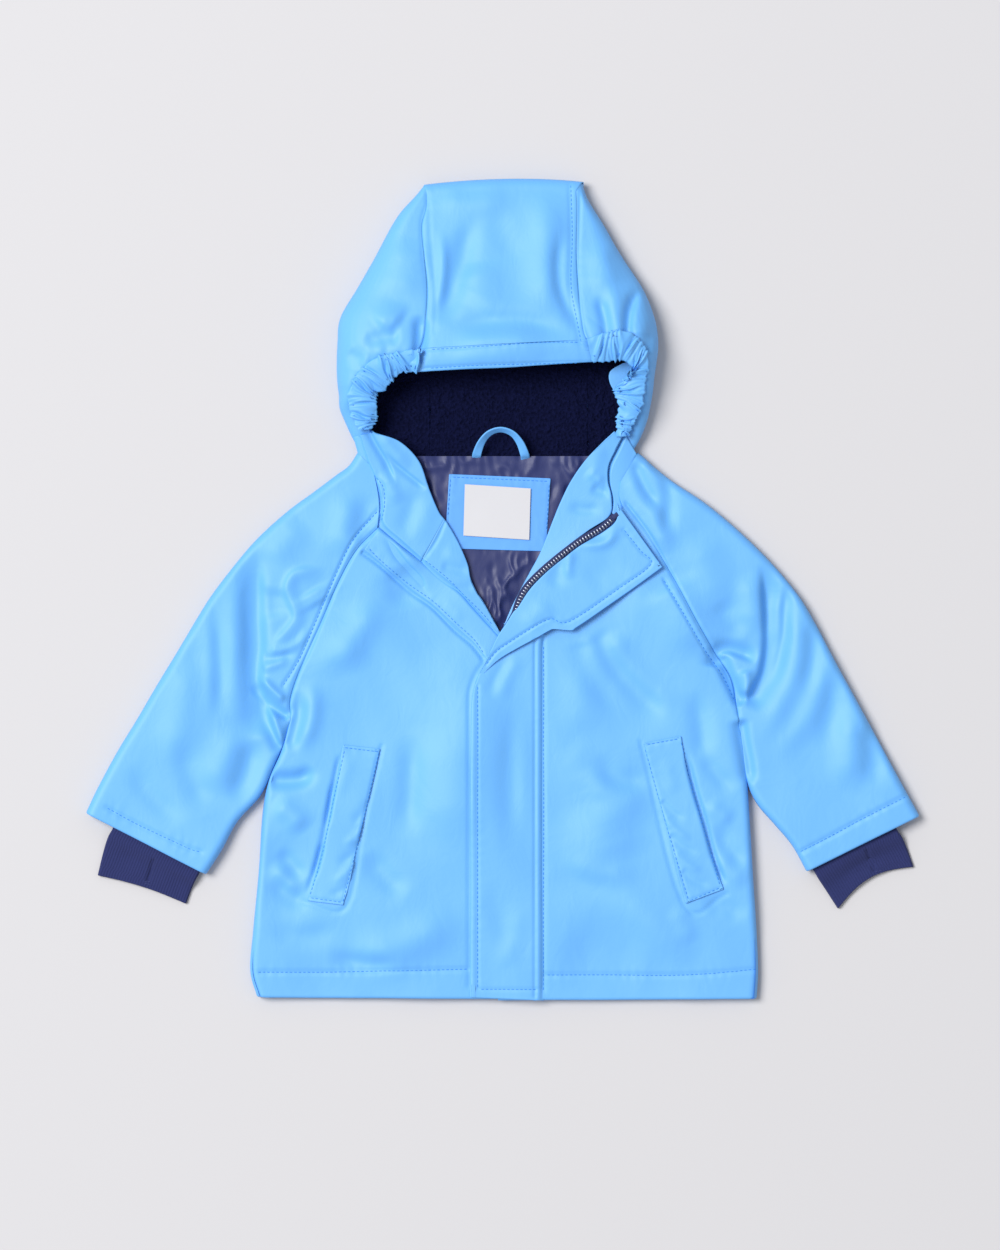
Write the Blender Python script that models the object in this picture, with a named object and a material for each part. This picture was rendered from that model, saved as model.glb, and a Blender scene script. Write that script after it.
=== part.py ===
"""A small child's padded raincoat, laid flat on its back with the hood open.

Sizes are in millimetres and MM turns them into metres.  +X is the viewer's right, which is
the wearer's left, +Y runs from the hem to the hood, and the surface it lies on is z = 0.
Every cloth piece is a wall.  Its outer face is a grid of points read from smooth curves
through short tables, and a Solidify modifier gives it its thickness, inwards.
"""

import math

import bmesh
import bpy
import numpy as np

MM = 0.001

# Walls and gaps
PADDED = 4.0            # shell, wadding and lining together
SHELL = 2.0             # hood shell, facings and collar, without wadding
FLEECE = 2.0            # pile lining of the hood
TAFFETA = 1.0           # smooth lining at the back of the neck
TAPE = 1.5              # hanging loop, and zip tape with its teeth
CUFF_WALL = 1.1         # knit of the cuffs
FLAP_THICK = 2.4        # storm flap, two layers and its turned edges
WELT_THICK = 1.6        # pocket welts
PLACKET_THICK = 1.4     # strip sewn along the right side of the opening
PATCH_THICK = 1.0       # patch at the back of the neck
LABEL_THICK = 0.6       # label on the patch
SEAM = 0.3              # between two pieces that are sewn together
LAID = 0.5              # between a panel and what lies on it
LINING_GAP = 0.9        # between the hood's shell and its lining
BRIM_GAP = 1.2          # outside the ridge of the brim seam, where the inner faces meet
EDGE_LIP = 0.8          # upright strip at a side seam, so that the two rims lie flat

# Heights
TOP = 11.6              # outer face of the front and of the sleeves
SIDE_SEAM = 5.8         # where front and back meet at the side
SIDE_ROUND = 6.0        # radius of the rounded side edges
HOOD_FOLD = 7.5         # radius of the fold at the top of the hood

# Rows that each stretch of a table is divided into, and points across some pieces
STEPS = 1
FLAP_COLUMNS = 7

COLOURS = {
    "shell_blue": ((124, 197, 252), 0.45),
    "fleece_navy": ((16, 20, 54), 1.0),
    "taffeta_navy": ((66, 80, 130), 0.35),
    "rib_navy": ((51, 58, 106), 0.85),
    "label_white": ((233, 232, 237), 0.8),
    "zip_tape": ((40, 46, 84), 0.8),
}

# Seams and edges, from the hem up.  Columns: x, y
SIDE_RIGHT = ((-171, -284), (-176, -265), (-174, -237), (-170, -195),
              (-167.5, -156), (-163, -132), (-154, -111), (-147.5, -90))
SIDE_LEFT = ((178, -285), (179, -265), (178, -237), (175.5, -198),
             (173, -156), (171, -128), (168.5, -107), (165, -87))
RAGLAN_FRONT_RIGHT = ((-147.5, -90), (-140, -65), (-129, -39), (-117.5, -13), (-107, 9), (-97, 28),
                      (-87, 44))
RAGLAN_FRONT_LEFT = ((165, -87), (159, -63), (144, -42), (130, -16), (113, 14), (98, 40), (85, 57))
RAGLAN_BACK_RIGHT = ((-147.5, -90), (-138, -65), (-126, -39), (-114, -13), (-103, 9), (-93, 30),
                     (-83, 50), (-74, 71), (-68, 91.7))
RAGLAN_BACK_LEFT = ((165, -87), (158, -63), (143, -35), (127, -5), (113, 26), (104, 44), (96, 60),
                    (89, 76), (83, 91.7))
CENTRE_RIGHT = ((-7, -285), (-7, -265), (-7, -237), (-7, -195), (-7, -156), (-7, -120), (-7, -90),
                (-7, -62))
CENTRE_LEFT = ((1, -286), (1, -265), (1, -237), (1, -198), (1, -156), (1, -120), (1, -86), (1, -56))
NECK_EDGE_RIGHT = ((-7, -62), (-8, -41), (-17, -23.5), (-31, -8), (-47, 7), (-63, 21), (-80, 36))
NECK_EDGE_LEFT = ((1, -56), (2, -37), (11, -17), (27, 7), (50, 29), (71, 45), (80, 51))

# Sleeves, from the hem to the armhole.  Columns: underarm x, y, overarm x, y
ARM_RIGHT = ((-207, -198, -291, -155), (-196, -181, -283, -138), (-185, -161, -269, -112),
             (-171, -143, -255, -89), (-164.6, -124, -241, -65), (-156, -105, -227, -42),
             (-148.8, -90, -214, -20))
ARM_LEFT = ((213, -196, 292, -157), (203, -178, 282, -139), (190.5, -163, 270, -117),
            (180.5, -148, 256, -91), (177, -134, 244, -69), (171.8, -112, 232, -47),
            (167, -87, 220, -24))
OVERARM_RIGHT = ((-214, -20), (-204, -4), (-189, 16), (-171, 37), (-150, 56), (-131, 70), (-115, 82))
OVERARM_LEFT = ((220, -24), (208, -4), (190, 18), (168, 40), (143, 61), (119, 77), (104, 89))
# The head of the sleeve beside the collar.  Columns: front x, y, overarm x, y
HEAD_RIGHT = ((-87, 44, -115, 82), (-86, 61, -107, 88), (-91.5, 80, -102.5, 92))
HEAD_LEFT = ((85, 57, 104, 89), (83, 66, 100, 93), (84, 76, 95, 97))

# Hood side panels, from the fold to the neck.
# Columns: seam x, y, z, outline x, y, z, underside x, y
HOOD_SIDE_RIGHT = (
    (-52.8, 281, 15, -54.5, 287.5, 7.5, -50.9, 281), (-53, 270, 17, -69, 270, 7.5, -50.9, 270),
    (-56, 254, 19, -78, 254, 8, -50.9, 254), (-54, 233, 22, -89, 233, 8.5, -50.9, 233),
    (-52, 212, 26, -101, 212, 9, -50.9, 211), (-53, 190, 31, -113, 191, 10, -50.9, 190),
    (-57, 169, 35, -115, 173, 11, -50.9, 169), (-70, 161, 32.5, -115.5, 156, 11, -50.9, 154),
    (-84, 155, 29, -115, 145, 10, -50.9, 141), (-95, 146, 25, -114, 137, 9, -50.9, 130),
    (-98, 135, 21, -113.5, 128, 8.5, -50.9, 119), (-96, 122, 16.6, -110, 119, 8, -50.9, 109),
    (-92.5, 113, 14.4, -105, 108, 7.5, -50.9, 101), (-89, 105, 11.4, -100.6, 100, 7.2, -50.9, 96),
    (-86, 98.5, 11, -100, 94, 6.8, -50.9, 92.3))
HOOD_SIDE_LEFT = (
    (54.8, 281, 15, 57, 287.5, 7.5, 60.6, 281), (55.3, 270, 17, 68, 270, 7.5, 60.6, 270),
    (55.3, 254, 19, 78, 254, 8, 60.6, 254), (54.3, 232, 22, 90, 232, 8.5, 60.6, 232),
    (54.3, 211, 26, 101, 211, 9, 60.6, 211), (55.3, 190, 31, 107, 191, 10, 60.6, 190),
    (59.3, 175, 35, 109, 177, 11, 60.6, 175), (72, 171, 33, 109, 168, 11, 60.6, 162),
    (84, 170, 30, 108, 160, 10, 60.6, 152), (92, 163, 26.5, 106.5, 150, 10, 60.6, 141),
    (93, 152, 23.5, 105.5, 140, 9, 60.6, 131), (89.5, 142, 21, 104, 131, 8.5, 60.6, 121),
    (88, 130, 18, 102, 121, 8, 60.6, 112), (87, 121, 15.8, 98.5, 111, 8, 60.6, 104),
    (85.6, 113, 12, 94.5, 103, 7.5, 60.6, 97), (84.6, 106, 10.6, 91.5, 98, 7, 60.6, 92.3))
# Hood centre panel over the top.  Columns: y at the right seam, y at the left, height
HOOD_CENTRE_TOP = ((281, 281, 15), (270, 270, 17), (254, 254, 19), (233, 232, 22),
                   (212, 211, 26), (190, 190, 31), (169, 175, 35))
HOOD_NECK = 92.0
HOOD_UNDER_RIGHT = -50.6
HOOD_UNDER_LEFT = 60.3
HOOD_CROWN = 4.0        # rise of the centre panel between its seams, at the brim
FOLD_SHIFT = 2.8        # how far the side panel stands off the end of the top fold

# Free edge of the brim band.  Columns: x, y, z
BRIM = ((-57.5, 152.5, 33.2), (-31, 154, 36), (-1, 155, 37.2), (30, 157, 36.2), (62.6, 159, 33.4))
# Gathered casings on each side of the face.  Columns: outer x, y, z, inner x, y, z
CASING_RIGHT = ((-58, 168.4, 37.6, -58.6, 152.2, 34), (-74, 166, 37, -71, 151, 32),
                (-91, 161, 34.4, -80, 142, 28.5), (-102.5, 149, 29.8, -87, 137, 25.5),
                (-107.5, 135, 24.6, -86.5, 128, 22.5), (-105, 122, 21.4, -87, 120, 19.4),
                (-100.5, 112.5, 20, -91, 113, 17.6))
CASING_LEFT = ((60, 175.6, 37.6, 63.6, 159, 34.4), (73, 180, 37.6, 74, 159.5, 33.4),
               (87, 181, 35.8, 85, 160, 31.5), (98, 173, 31.6, 91, 154, 28.6),
               (102.5, 160, 28, 85, 147, 26), (100.2, 145, 25.4, 78, 141, 23.6),
               (97.6, 128, 22.6, 80, 130, 21), (90, 117, 20.4, 79.5, 116.5, 18.6))
CASING_BULGE = 3.0
GATHER_DEPTH = 1.0
GATHERS = 9

# Collar and facings beside the opening.  Columns: outer x, y, z, inner x, y, z
COLLAR_RIGHT = ((-99, 109, 15.6, -90.5, 111, 17), (-94.3, 92, 13.6, -72, 105, 16),
                (-88.2, 77, 12.4, -58, 91, 14.2), (-84.4, 62, 12, -51, 72, 12),
                (-84, 47.5, 12, -46, 60, 10.8), (-71.5, 35.6, 12.2, -43, 54, 10.4),
                (-57, 23, 12.2, -41.8, 50, 10.4))
FACING_RIGHT = ((-56.2, 22.4, 12.2, -41.4, 49.2, 10.4), (-46, 13.6, 12.2, -31, 33, 10),
                (-36, 5, 12.2, -24, 15, 10.4), (-25.5, -4.5, 12.2, -19, 2, 10.8),
                (-14, -15.6, 12.2, -10.4, -12, 11.4), (-5.4, -25.4, 12.2, -3, -22, 12))
FACING_LEFT = ((84.6, 108.6, 15, 78.4, 111.6, 16.4), (79.6, 99, 14, 68, 102, 15),
               (74.6, 88, 12.6, 58, 91.5, 13.4), (74, 77, 12.2, 48, 77, 11.8),
               (76.6, 64, 12.2, 41, 63, 10.8), (75, 52.6, 12.2, 36, 51, 10.4),
               (61, 43, 12.2, 31, 38, 10), (47, 32.6, 12.2, 26, 26, 10),
               (34, 20.6, 12.2, 20, 15, 10.4), (23, 10.4, 12.2, 14, 4, 10.8),
               (12, -5.6, 12.2, 6.4, -11, 11.4), (2.6, -22.6, 12.2, 0.6, -25, 12))
COLLAR_LEFT = ((86, 109.6, 15, 92.4, 98.8, 12), (80.6, 98.6, 14, 88.4, 88.4, 12),
               (75.6, 88, 12.8, 83, 77, 12), (75, 77, 12.2, 81.4, 66.8, 12),
               (77.4, 64, 12.2, 83.4, 58.2, 12))

# Storm flap, from the hem to its turned-out end.
# Columns: left or upper edge x, y, right or lower edge x, y, rise of the turned-out part
FLAP = ((-22, -284.5, 27, -287, 0), (-22, -265, 27, -265, 0), (-21.5, -216, 27, -216, 0),
        (-20.5, -146, 27, -146, 0), (-20.5, -90, 27, -92, 0), (-19.5, -72, 27, -70, 0.2),
        (-15, -55, 27.6, -52, 1.2), (-8, -41.6, 29, -38, 2.2), (-0.6, -29, 35, -27, 2.6),
        (6.9, -18.2, 49, -27, 2.6), (18.6, 0.4, 62, -18.4, 2.6), (27.3, 9.9, 73, -10.8, 2.6),
        (39.6, 20.5, 84, -3.2, 2.6), (55.4, 32.6, 94, 3.8, 2.6), (71.6, 42.4, 103, 10.4, 2.6),
        (82, 50.4, 108.6, 14.4, 2.6), (82, 60, 111.5, 16.6, 2.6))
PLACKET = ((-92, 42, -96.5, 32), (-71, 28, -76, 15.6), (-50, 12, -56, -1),
           (-30, -7, -38, -18), (-9.4, -31, -17.6, -41.5))
# Zip, from the hem to its top stop.  Columns: x, y, z
ZIP = ((-3, -275, 11.2), (-3, -180, 11.2), (-3, -100, 11.2), (-3, -50, 11.6), (-1.4, -32, 13.2),
       (4.6, -17, 14.6), (16.6, 2, 14.6), (25.6, 11.8, 14.6), (38, 22.6, 14.6), (54, 34.8, 14.6),
       (70, 44.6, 14.6), (79, 52.6, 14.6))
ZIP_HALF_WIDTH = (3.4, 3.4, 3.4, 3.0, 2.4, 2.0, 2.0, 2.0, 2.0, 2.0, 2.0, 2.0)

# Pocket welts.  Columns: x, y at the top inner, top outer, bottom outer, bottom inner corner
POCKET_RIGHT = ((-85, -110), (-111, -107), (-136, -216), (-111, -219))
POCKET_LEFT = ((99, -106), (125, -100), (155, -210), (128, -218))

# Lining and what is sewn on it.  Columns: left x, right x, y
LINING = ((-66, 74, 91.7), (-58, 68, 71), (-50, 60, 50), (-42, 50, 26), (-28, 34, -2),
          (-14, 14, -37), (-9, 8, -50))
PATCH = ((-37, 82), (34, 79), (31, 28), (-40, 30))
LABEL = ((-26, 75), (20, 72), (19, 36), (-27, 39))
# Hanging loop.  Columns: x, y, z
LOOP = ((-17.6, 90, 7.1), (-17.4, 96, 9.8), (-14, 104, 13), (-8.6, 110, 14.8), (-1, 112.4, 15.4),
        (6.6, 110, 14.8), (12, 104, 13), (15.6, 96, 9.8), (16.6, 90, 7.1))
LOOP_WIDTH = 6.4
LOOP_TILT = 60.0

# Cuffs, from inside the sleeve to the end.  Columns: seam x, y, fold x, y, height, thickness
CUFF_RIGHT = ((-207, -187, -268, -156, 4.4, 2.8), (-212, -197.5, -272.5, -166, 4.4, 2.8),
              (-214.6, -202.5, -275.6, -171.6, 3.6, 2.8), (-217.4, -208.6, -279, -182, 0, 3.4),
              (-221, -218.5, -283, -198.6, 0, 3.4))
CUFF_LEFT = ((213, -186, 272, -157, 4.4, 2.8), (218.4, -196, 276.4, -166.6, 4.4, 2.8),
             (221.4, -201.2, 279.6, -171.4, 3.6, 2.8), (227, -209.6, 283.6, -180, 0, 3.4),
             (235, -222, 288, -192.6, 0, 3.4))

# Large soft folds of the shell.  Columns: start x, y, end x, y, half width, height
BODY_FOLDS = (
    (-140, -78, -100, -44, 9, -1.6), (-120, -150, -60, -260, 16, 1.2),
    (-60, -60, -38, -190, 14, 0.9), (60, -40, 80, -110, 16, 1.0),
    (164, -92, 120, -60, 9, -1.6), (150, -120, 170, -250, 12, 1.0),
    (-150, -230, -110, -262, 12, -0.9), (90, -230, 160, -250, 14, -0.8))
ARM_FOLDS = (
    (-176, 20, -168, -34, 8, -2.4), (-168, -34, -172, -64, 8, -2.0),
    (-150, 10, -142, -30, 9, 2.6), (-190, 6, -196, -40, 10, 2.0),
    (-152, -92, -186, -60, 8, -2.2), (-166, -130, -214, -98, 9, -1.8),
    (-182, -156, -236, -128, 10, 1.4), (176, 16, 181, -30, 8, -2.4),
    (181, -30, 178, -70, 8, -2.2), (196, 0, 204, -52, 10, 2.2),
    (160, 20, 160, -36, 9, 2.2), (172, -110, 208, -84, 8, -2.0),
    (186, -148, 238, -118, 10, 1.4))
HOOD_FOLDS = (
    (-30, 250, 30, 214, 16, -1.6), (-20, 262, 40, 250, 12, 1.6), (-76, 236, -70, 196, 10, -1.6),
    (-92, 200, -78, 176, 9, 1.8), (72, 250, 92, 200, 10, -1.4), (70, 196, 88, 186, 8, 1.6))


def clear_scene():
    """Remove every object that the file starts with."""
    for old in list(bpy.data.objects):
        bpy.data.objects.remove(old, do_unlink=True)


def make_material(name):
    """Principled finish of one kind of cloth, its colour given in display values."""
    display, roughness = COLOURS[name]
    linear = [((c / 255 + 0.055) / 1.055) ** 2.4 for c in display]
    finish = bpy.data.materials.new(name)
    finish.use_nodes = True
    shader = finish.node_tree.nodes["Principled BSDF"]
    shader.inputs["Base Color"].default_value = (*linear, 1.0)
    shader.inputs["Roughness"].default_value = roughness
    return finish


def smooth(table, steps=STEPS):
    """Points on a smooth curve through a table's rows, each stretch in equal steps."""
    rows = np.array(table, float)
    before = np.vstack([2 * rows[0] - rows[1], rows, 2 * rows[-1] - rows[-2]])
    found = []
    for i in range(len(rows) - 1):
        p0, p1, p2, p3 = before[i:i + 4]
        for t in np.arange(steps) / steps:
            found.append(0.5 * (2 * p1 + (p2 - p0) * t + (2 * p0 - 5 * p1 + 4 * p2 - p3) * t * t
                                + (3 * p1 - p0 - 3 * p2 + p3) * t ** 3))
    found.append(rows[-1])
    return np.array(found)


def folds_at(points, table):
    """Height that the soft folds of a table add at each x, y."""
    added = np.zeros(points.shape[:-1])
    for x0, y0, x1, y1, width, height in table:
        start = np.array([x0, y0])
        run = np.array([x1, y1]) - start
        along = np.clip(((points[..., :2] - start) @ run) / (run @ run), 0, 1)
        aside = np.linalg.norm(points[..., :2] - start - along[..., None] * run, axis=-1)
        added += height * np.exp(-(aside / width) ** 2)
    return added


def outward(points):
    """Unit normals of a grid of points, right-handed from its rows to its columns."""
    down = np.gradient(points, axis=0)
    across = np.gradient(points, axis=1)
    normal = np.cross(across, down)
    return normal / np.maximum(np.linalg.norm(normal, axis=-1, keepdims=True), 1e-9)


def faces_up(points):
    """Whether the highest part of a grid faces up, as its faces are made."""
    height = points[..., 2]
    high = height >= np.quantile(height, 0.7)
    return outward(points)[..., 2][high].sum() > 0


def inward(points):
    """Unit normals that point to the wall's inner side, where the top faces up."""
    return -outward(points) if faces_up(points) else outward(points)


def cloth(name, points, wall, finish, outside_up=True):
    """A wall of cloth: a grid moved to its places, then given its thickness inwards."""
    rows, columns = points.shape[:2]
    mesh = bpy.data.meshes.new(name)
    grid = bmesh.new()
    bmesh.ops.create_grid(grid, x_segments=columns - 1, y_segments=rows - 1, size=1.0)
    placed = sorted(grid.verts, key=lambda v: (round(v.co.y, 5), round(v.co.x, 5)))
    for vertex, place in zip(placed, points.reshape(-1, 3)):
        vertex.co = place * MM
    if faces_up(points) != outside_up:
        bmesh.ops.reverse_faces(grid, faces=grid.faces)
    grid.to_mesh(mesh)
    grid.free()
    piece = bpy.data.objects.new(name, mesh)
    bpy.context.scene.collection.objects.link(piece)
    mesh.materials.append(finish)
    mesh.shade_smooth()
    thick = piece.modifiers.new("wall", "SOLIDIFY")
    thick.thickness = wall * MM
    thick.offset = -1.0


def between(table, columns, steps=STEPS):
    """Grid between two edges: a table's first half of columns and its second half."""
    rows = smooth(table, steps)
    half = rows.shape[1] // 2
    share = np.linspace(0, 1, columns)[None, :, None]
    return rows[:, None, :half] * (1 - share) + rows[:, None, half:] * share


def rolled_edge(radius, curl):
    """Distances in from an edge, and how far up the roll each is, from 0 at the edge to 1."""
    quarter = np.linspace(0, math.pi / 2, 4)
    lip = EDGE_LIP / SIDE_SEAM
    if curl > 0:
        distance = np.concatenate([[0], radius * (1 - np.cos(quarter))])
    else:
        distance = np.linspace(0, radius, len(quarter) + 1)
    return distance, np.concatenate([[0], lip + (1 - lip) * np.sin(quarter)])


def wrapped(seam, fold, under, top, fold_height, roll, fold_round, under_round,
            across=6, beneath=4):
    """Rows of a panel that runs over the top, round its outer fold and back underneath.

    seam, fold and under are rows of x, y.  top and fold_height are heights for each row.
    roll is 1 where both ends curl in to meet at a seam half way up, and 0 where they are flat.
    """
    quarter = np.linspace(0, math.pi / 2, 4)
    rows = []
    for a, o, b, z, z_fold, curl, r_fold, r_under in zip(
            seam, fold, under, top, fold_height, roll, fold_round, under_round):
        width = np.linalg.norm(o - a)
        r_end = min(SIDE_ROUND, 0.25 * width)
        r_fold = min(r_fold, 0.7 * width)
        starts, rise = rolled_edge(r_end, curl)
        runs = np.linspace(r_end, width - r_fold, across)[1:]
        turns = width - r_fold + r_fold * np.sin(quarter[1:])
        flat = np.concatenate([starts, runs, turns]) / width
        z_end = z + (SIDE_SEAM + SEAM - z) * curl
        heights = np.concatenate([
            z_end + (z - z_end) * rise, np.full(len(runs), z),
            z_fold + (z - z_fold) * np.cos(quarter[1:])])
        over = np.column_stack([a + flat[:, None] * (o - a), heights])
        width = np.linalg.norm(b - o)
        r_end = min(SIDE_ROUND, 0.25 * width)
        r_under = min(r_under, 0.6 * width)
        turns = r_under * (1 - np.cos(quarter[1:]))
        runs = np.linspace(r_under, width - r_end, beneath)[1:]
        ends, rise = rolled_edge(r_end, curl)
        flat = np.concatenate([turns, runs, width - ends[::-1][1:]]) / width
        heights = np.concatenate([
            z_fold * (1 - np.sin(quarter[1:])), np.zeros(len(runs)),
            SIDE_SEAM * curl * (1 - rise[::-1][1:])])
        rows.append(np.vstack([over, np.column_stack([o + flat[:, None] * (b - o), heights])]))
    return np.array(rows)


def inset(edge, towards):
    """An edge moved half a seam's gap towards a side: +1 or -1 along x."""
    moved = np.array(edge, float)
    moved[:, 0] += towards * SEAM
    return moved


def curl_of(seam_rows, rows):
    """How far each row's edge curls in: fully along the side seam, then less to the armpit."""
    return np.interp(np.arange(rows), (seam_rows - 4, seam_rows - 3, seam_rows - 2, seam_rows - 1),
                     (1, 0.85, 0.5, 0))


def make_front(name, side, raglan, centre, neck, towards, finish):
    """One front panel: rounded at the side seam and flat at the raglan seam and the zip."""
    outer = np.vstack([smooth(side), inset(smooth(raglan), towards)[1:]])
    inner = np.vstack([smooth(centre), smooth(neck)[1:]])
    curled = curl_of(len(smooth(side)), len(outer))
    rows = []
    for edge, middle, curl in zip(outer, inner, curled):
        width = np.linalg.norm(middle - edge)
        r_end = min(SIDE_ROUND, 0.3 * width)
        starts, rise = rolled_edge(r_end, curl)
        flat = np.concatenate([starts, np.linspace(r_end, width, 9)[1:]])
        low = TOP + (SIDE_SEAM + SEAM - TOP) * curl
        heights = np.concatenate([low + (TOP - low) * rise, np.full(8, TOP)])
        rows.append(np.column_stack([edge + flat[:, None] / width * (middle - edge), heights]))
    points = np.array(rows)
    away = np.clip(np.arange(points.shape[1]) - 3, 0, 3) / 3
    points[..., 2] += folds_at(points, BODY_FOLDS) * away
    cloth(name, points, PADDED, finish)


def make_back(finish):
    """The back panel, flat on the surface, its sides curled up to the side seams."""
    right = np.vstack([smooth(SIDE_RIGHT), inset(smooth(RAGLAN_BACK_RIGHT), 1)[1:]])
    left = np.vstack([smooth(SIDE_LEFT), inset(smooth(RAGLAN_BACK_LEFT), -1)[1:]])
    curled = curl_of(len(smooth(SIDE_RIGHT)), len(right))
    rows = []
    for a, b, curl in zip(right, left, curled):
        width = np.linalg.norm(b - a)
        turn, sunk = rolled_edge(SIDE_ROUND, curl)
        flat = np.concatenate([turn, np.linspace(SIDE_ROUND, width - SIDE_ROUND, 8)[1:-1],
                               width - turn[::-1]]) / width
        rise = SIDE_SEAM * curl * (1 - sunk)
        heights = np.concatenate([rise, np.zeros(6), rise[::-1]])
        rows.append(np.column_stack([a + flat[:, None] * (b - a), heights]))
    cloth("back", np.array(rows), PADDED, finish, outside_up=False)


def make_sleeve(name, arm, raglan_front, raglan_back, overarm, head, away, finish):
    """A raglan sleeve: a flattened tube to the armpit, then open to the front and the back."""
    tube = smooth(arm)
    front = inset(smooth(raglan_front), away)
    back = inset(smooth(raglan_back), away)
    crown = smooth(head)
    seam = np.vstack([tube[:, :2], front[1:], crown[1:, :2]])
    fold = np.vstack([tube[:, 2:], smooth(overarm)[1:], crown[1:, 2:]])
    under = np.vstack([tube[:, :2], back[1:]])
    if not len(seam) == len(fold) == len(under):
        raise ValueError(f"{name}: rows {len(seam)}, {len(fold)}, {len(under)}")
    count = len(seam)
    curled = np.zeros(count)
    curled[:len(tube)] = 1
    top = np.full(count, TOP)
    points = wrapped(seam, fold, under, top, np.full(count, SIDE_SEAM), curled,
                     np.full(count, 8.0), np.full(count, SIDE_ROUND))
    weight = np.zeros(points.shape[1])
    weight[4:10] = (0.5, 1, 1, 1, 1, 0.6)
    points[..., 2] += folds_at(points, ARM_FOLDS) * weight
    cloth(name, points, PADDED, finish)


def make_cuff(name, table, finish):
    """A flattened knit tube that comes out of the sleeve and rests on the surface."""
    rows = smooth(table)
    quarter = np.linspace(0, math.pi / 2, 4)
    found = []
    for row in rows:
        a, o, low, thick = row[:2], row[2:4], row[4], row[5]
        width = np.linalg.norm(o - a)
        r_end = thick / 2
        middle = low + thick / 2
        flat = np.concatenate([r_end * (1 - np.cos(quarter)),
                               np.linspace(r_end, width - r_end, 7)[1:-1],
                               width - r_end * (1 - np.cos(quarter[::-1]))]) / width
        bow = np.concatenate([np.sin(quarter), np.ones(5), np.sin(quarter[::-1])]) * thick / 2
        over = np.column_stack([a + flat[:, None] * (o - a), middle + bow])
        over[0, 2] += SEAM / 2
        below = np.column_stack([a + flat[:, None] * (o - a), middle - bow])[::-1][1:]
        below[-1, 2] -= SEAM / 2
        found.append(np.vstack([over, below]))
    cloth(name, np.array(found), CUFF_WALL, finish)


def hood_side_points(table):
    """Outer face of a hood side panel, over the top, round the outline and back underneath."""
    rows = smooth(table)
    width = np.linalg.norm(rows[:, 3:5] - rows[:, :2], axis=1)
    points = wrapped(rows[:, :2], rows[:, 3:5], rows[:, 6:8], rows[:, 2], rows[:, 5],
                     np.zeros(len(rows)), 0.85 * width + 1, np.full(len(rows), 8.0),
                     across=4, beneath=3)
    weight = np.zeros(points.shape[1])
    weight[3:9] = (0.4, 1, 1, 1, 0.8, 0.3)
    points[..., 2] += folds_at(points, HOOD_FOLDS) * weight
    points[0] = hood_fold_row(rows[0], points[1])
    return points


def hood_fold_row(row, following):
    """First row of a side panel, which follows the edge of the centre panel's fold."""
    length = np.concatenate([[0], np.cumsum(np.linalg.norm(np.diff(following, axis=0), axis=1))])
    turn = math.pi * length / length[-1]
    radius = row[2] / 2
    x = row[0] + (row[6] - row[0]) * turn / math.pi
    x += math.copysign(FOLD_SHIFT, row[0]) * np.sin(turn)
    return np.column_stack([x, row[1] + (radius - 1) * np.sin(turn), radius + radius * np.cos(turn)])


def hood_centre_points():
    """Outer face of the centre panel, from the back neck under the hood, over the fold."""
    top = smooth(HOOD_CENTRE_TOP)
    right = smooth(HOOD_SIDE_RIGHT)[:len(top)]
    left = smooth(HOOD_SIDE_LEFT)[:len(top)]
    share = np.linspace(0, 1, 9)
    rows = []
    for y in np.linspace(HOOD_NECK, top[0, 0], 7):
        x = HOOD_UNDER_RIGHT + (HOOD_UNDER_LEFT - HOOD_UNDER_RIGHT) * share
        rows.append(np.column_stack([x, np.full(9, y), np.zeros(9)]))
    for turn in np.linspace(0, math.pi, 8)[1:-1]:
        s = turn / math.pi
        low = HOOD_UNDER_RIGHT + (right[0, 0] + SEAM - HOOD_UNDER_RIGHT) * s
        high = HOOD_UNDER_LEFT + (left[0, 0] - SEAM - HOOD_UNDER_LEFT) * s
        x = low + (high - low) * share
        y = np.full(9, top[0, 0] + HOOD_FOLD * math.sin(turn))
        rows.append(np.column_stack([x, y, np.full(9, HOOD_FOLD * (1 - math.cos(turn)))]))
    for k, (y_right, y_left, z) in enumerate(top):
        x = right[k, 0] + SEAM + (left[k, 0] - right[k, 0] - 2 * SEAM) * share
        rise = HOOD_CROWN * (k / (len(top) - 1)) * (1 - (2 * share - 1) ** 2)
        rows.append(np.column_stack([x, y_right + (y_left - y_right) * share, z + rise]))
    points = np.array(rows)
    inside = np.zeros(len(points))
    inside[-len(top) + 1:] = 1
    edge = np.minimum(1, 4 * share * (1 - share) * 1.6)
    points[..., 2] += folds_at(points, HOOD_FOLDS) * inside[:, None] * edge[None]
    return points


def make_casing(name, table, finish):
    """A gathered elastic casing: a soft roll with short waves across it."""
    rows = smooth(table, 4)
    half = rows.shape[1] // 2
    share = np.linspace(0, 1, 7)[None, :, None]
    points = rows[:, None, :half] * (1 - share) + rows[:, None, half:] * share
    arch = np.sin(math.pi * np.linspace(0, 1, 7))
    waves = np.sin(2 * math.pi * GATHERS * np.linspace(0, 1, len(rows)))
    points[..., 2] += CASING_BULGE * arch[None] + GATHER_DEPTH * waves[:, None] * arch[None]
    cloth(name, points, SHELL, finish)


def make_flap(finish):
    """The storm flap, down the centre front and turned out at the neck."""
    rows = smooth(FLAP)
    share = np.linspace(0, 1, FLAP_COLUMNS)[None, :, None]
    flat = rows[:, None, :2] * (1 - share) + rows[:, None, 2:4] * share
    points = np.concatenate([flat, np.zeros((len(rows), FLAP_COLUMNS, 1))], axis=2)
    points[..., 2] = panel_height(points) + LAID + FLAP_THICK + rows[:, None, 4]
    cloth("storm_flap", points, FLAP_THICK, finish)


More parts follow.
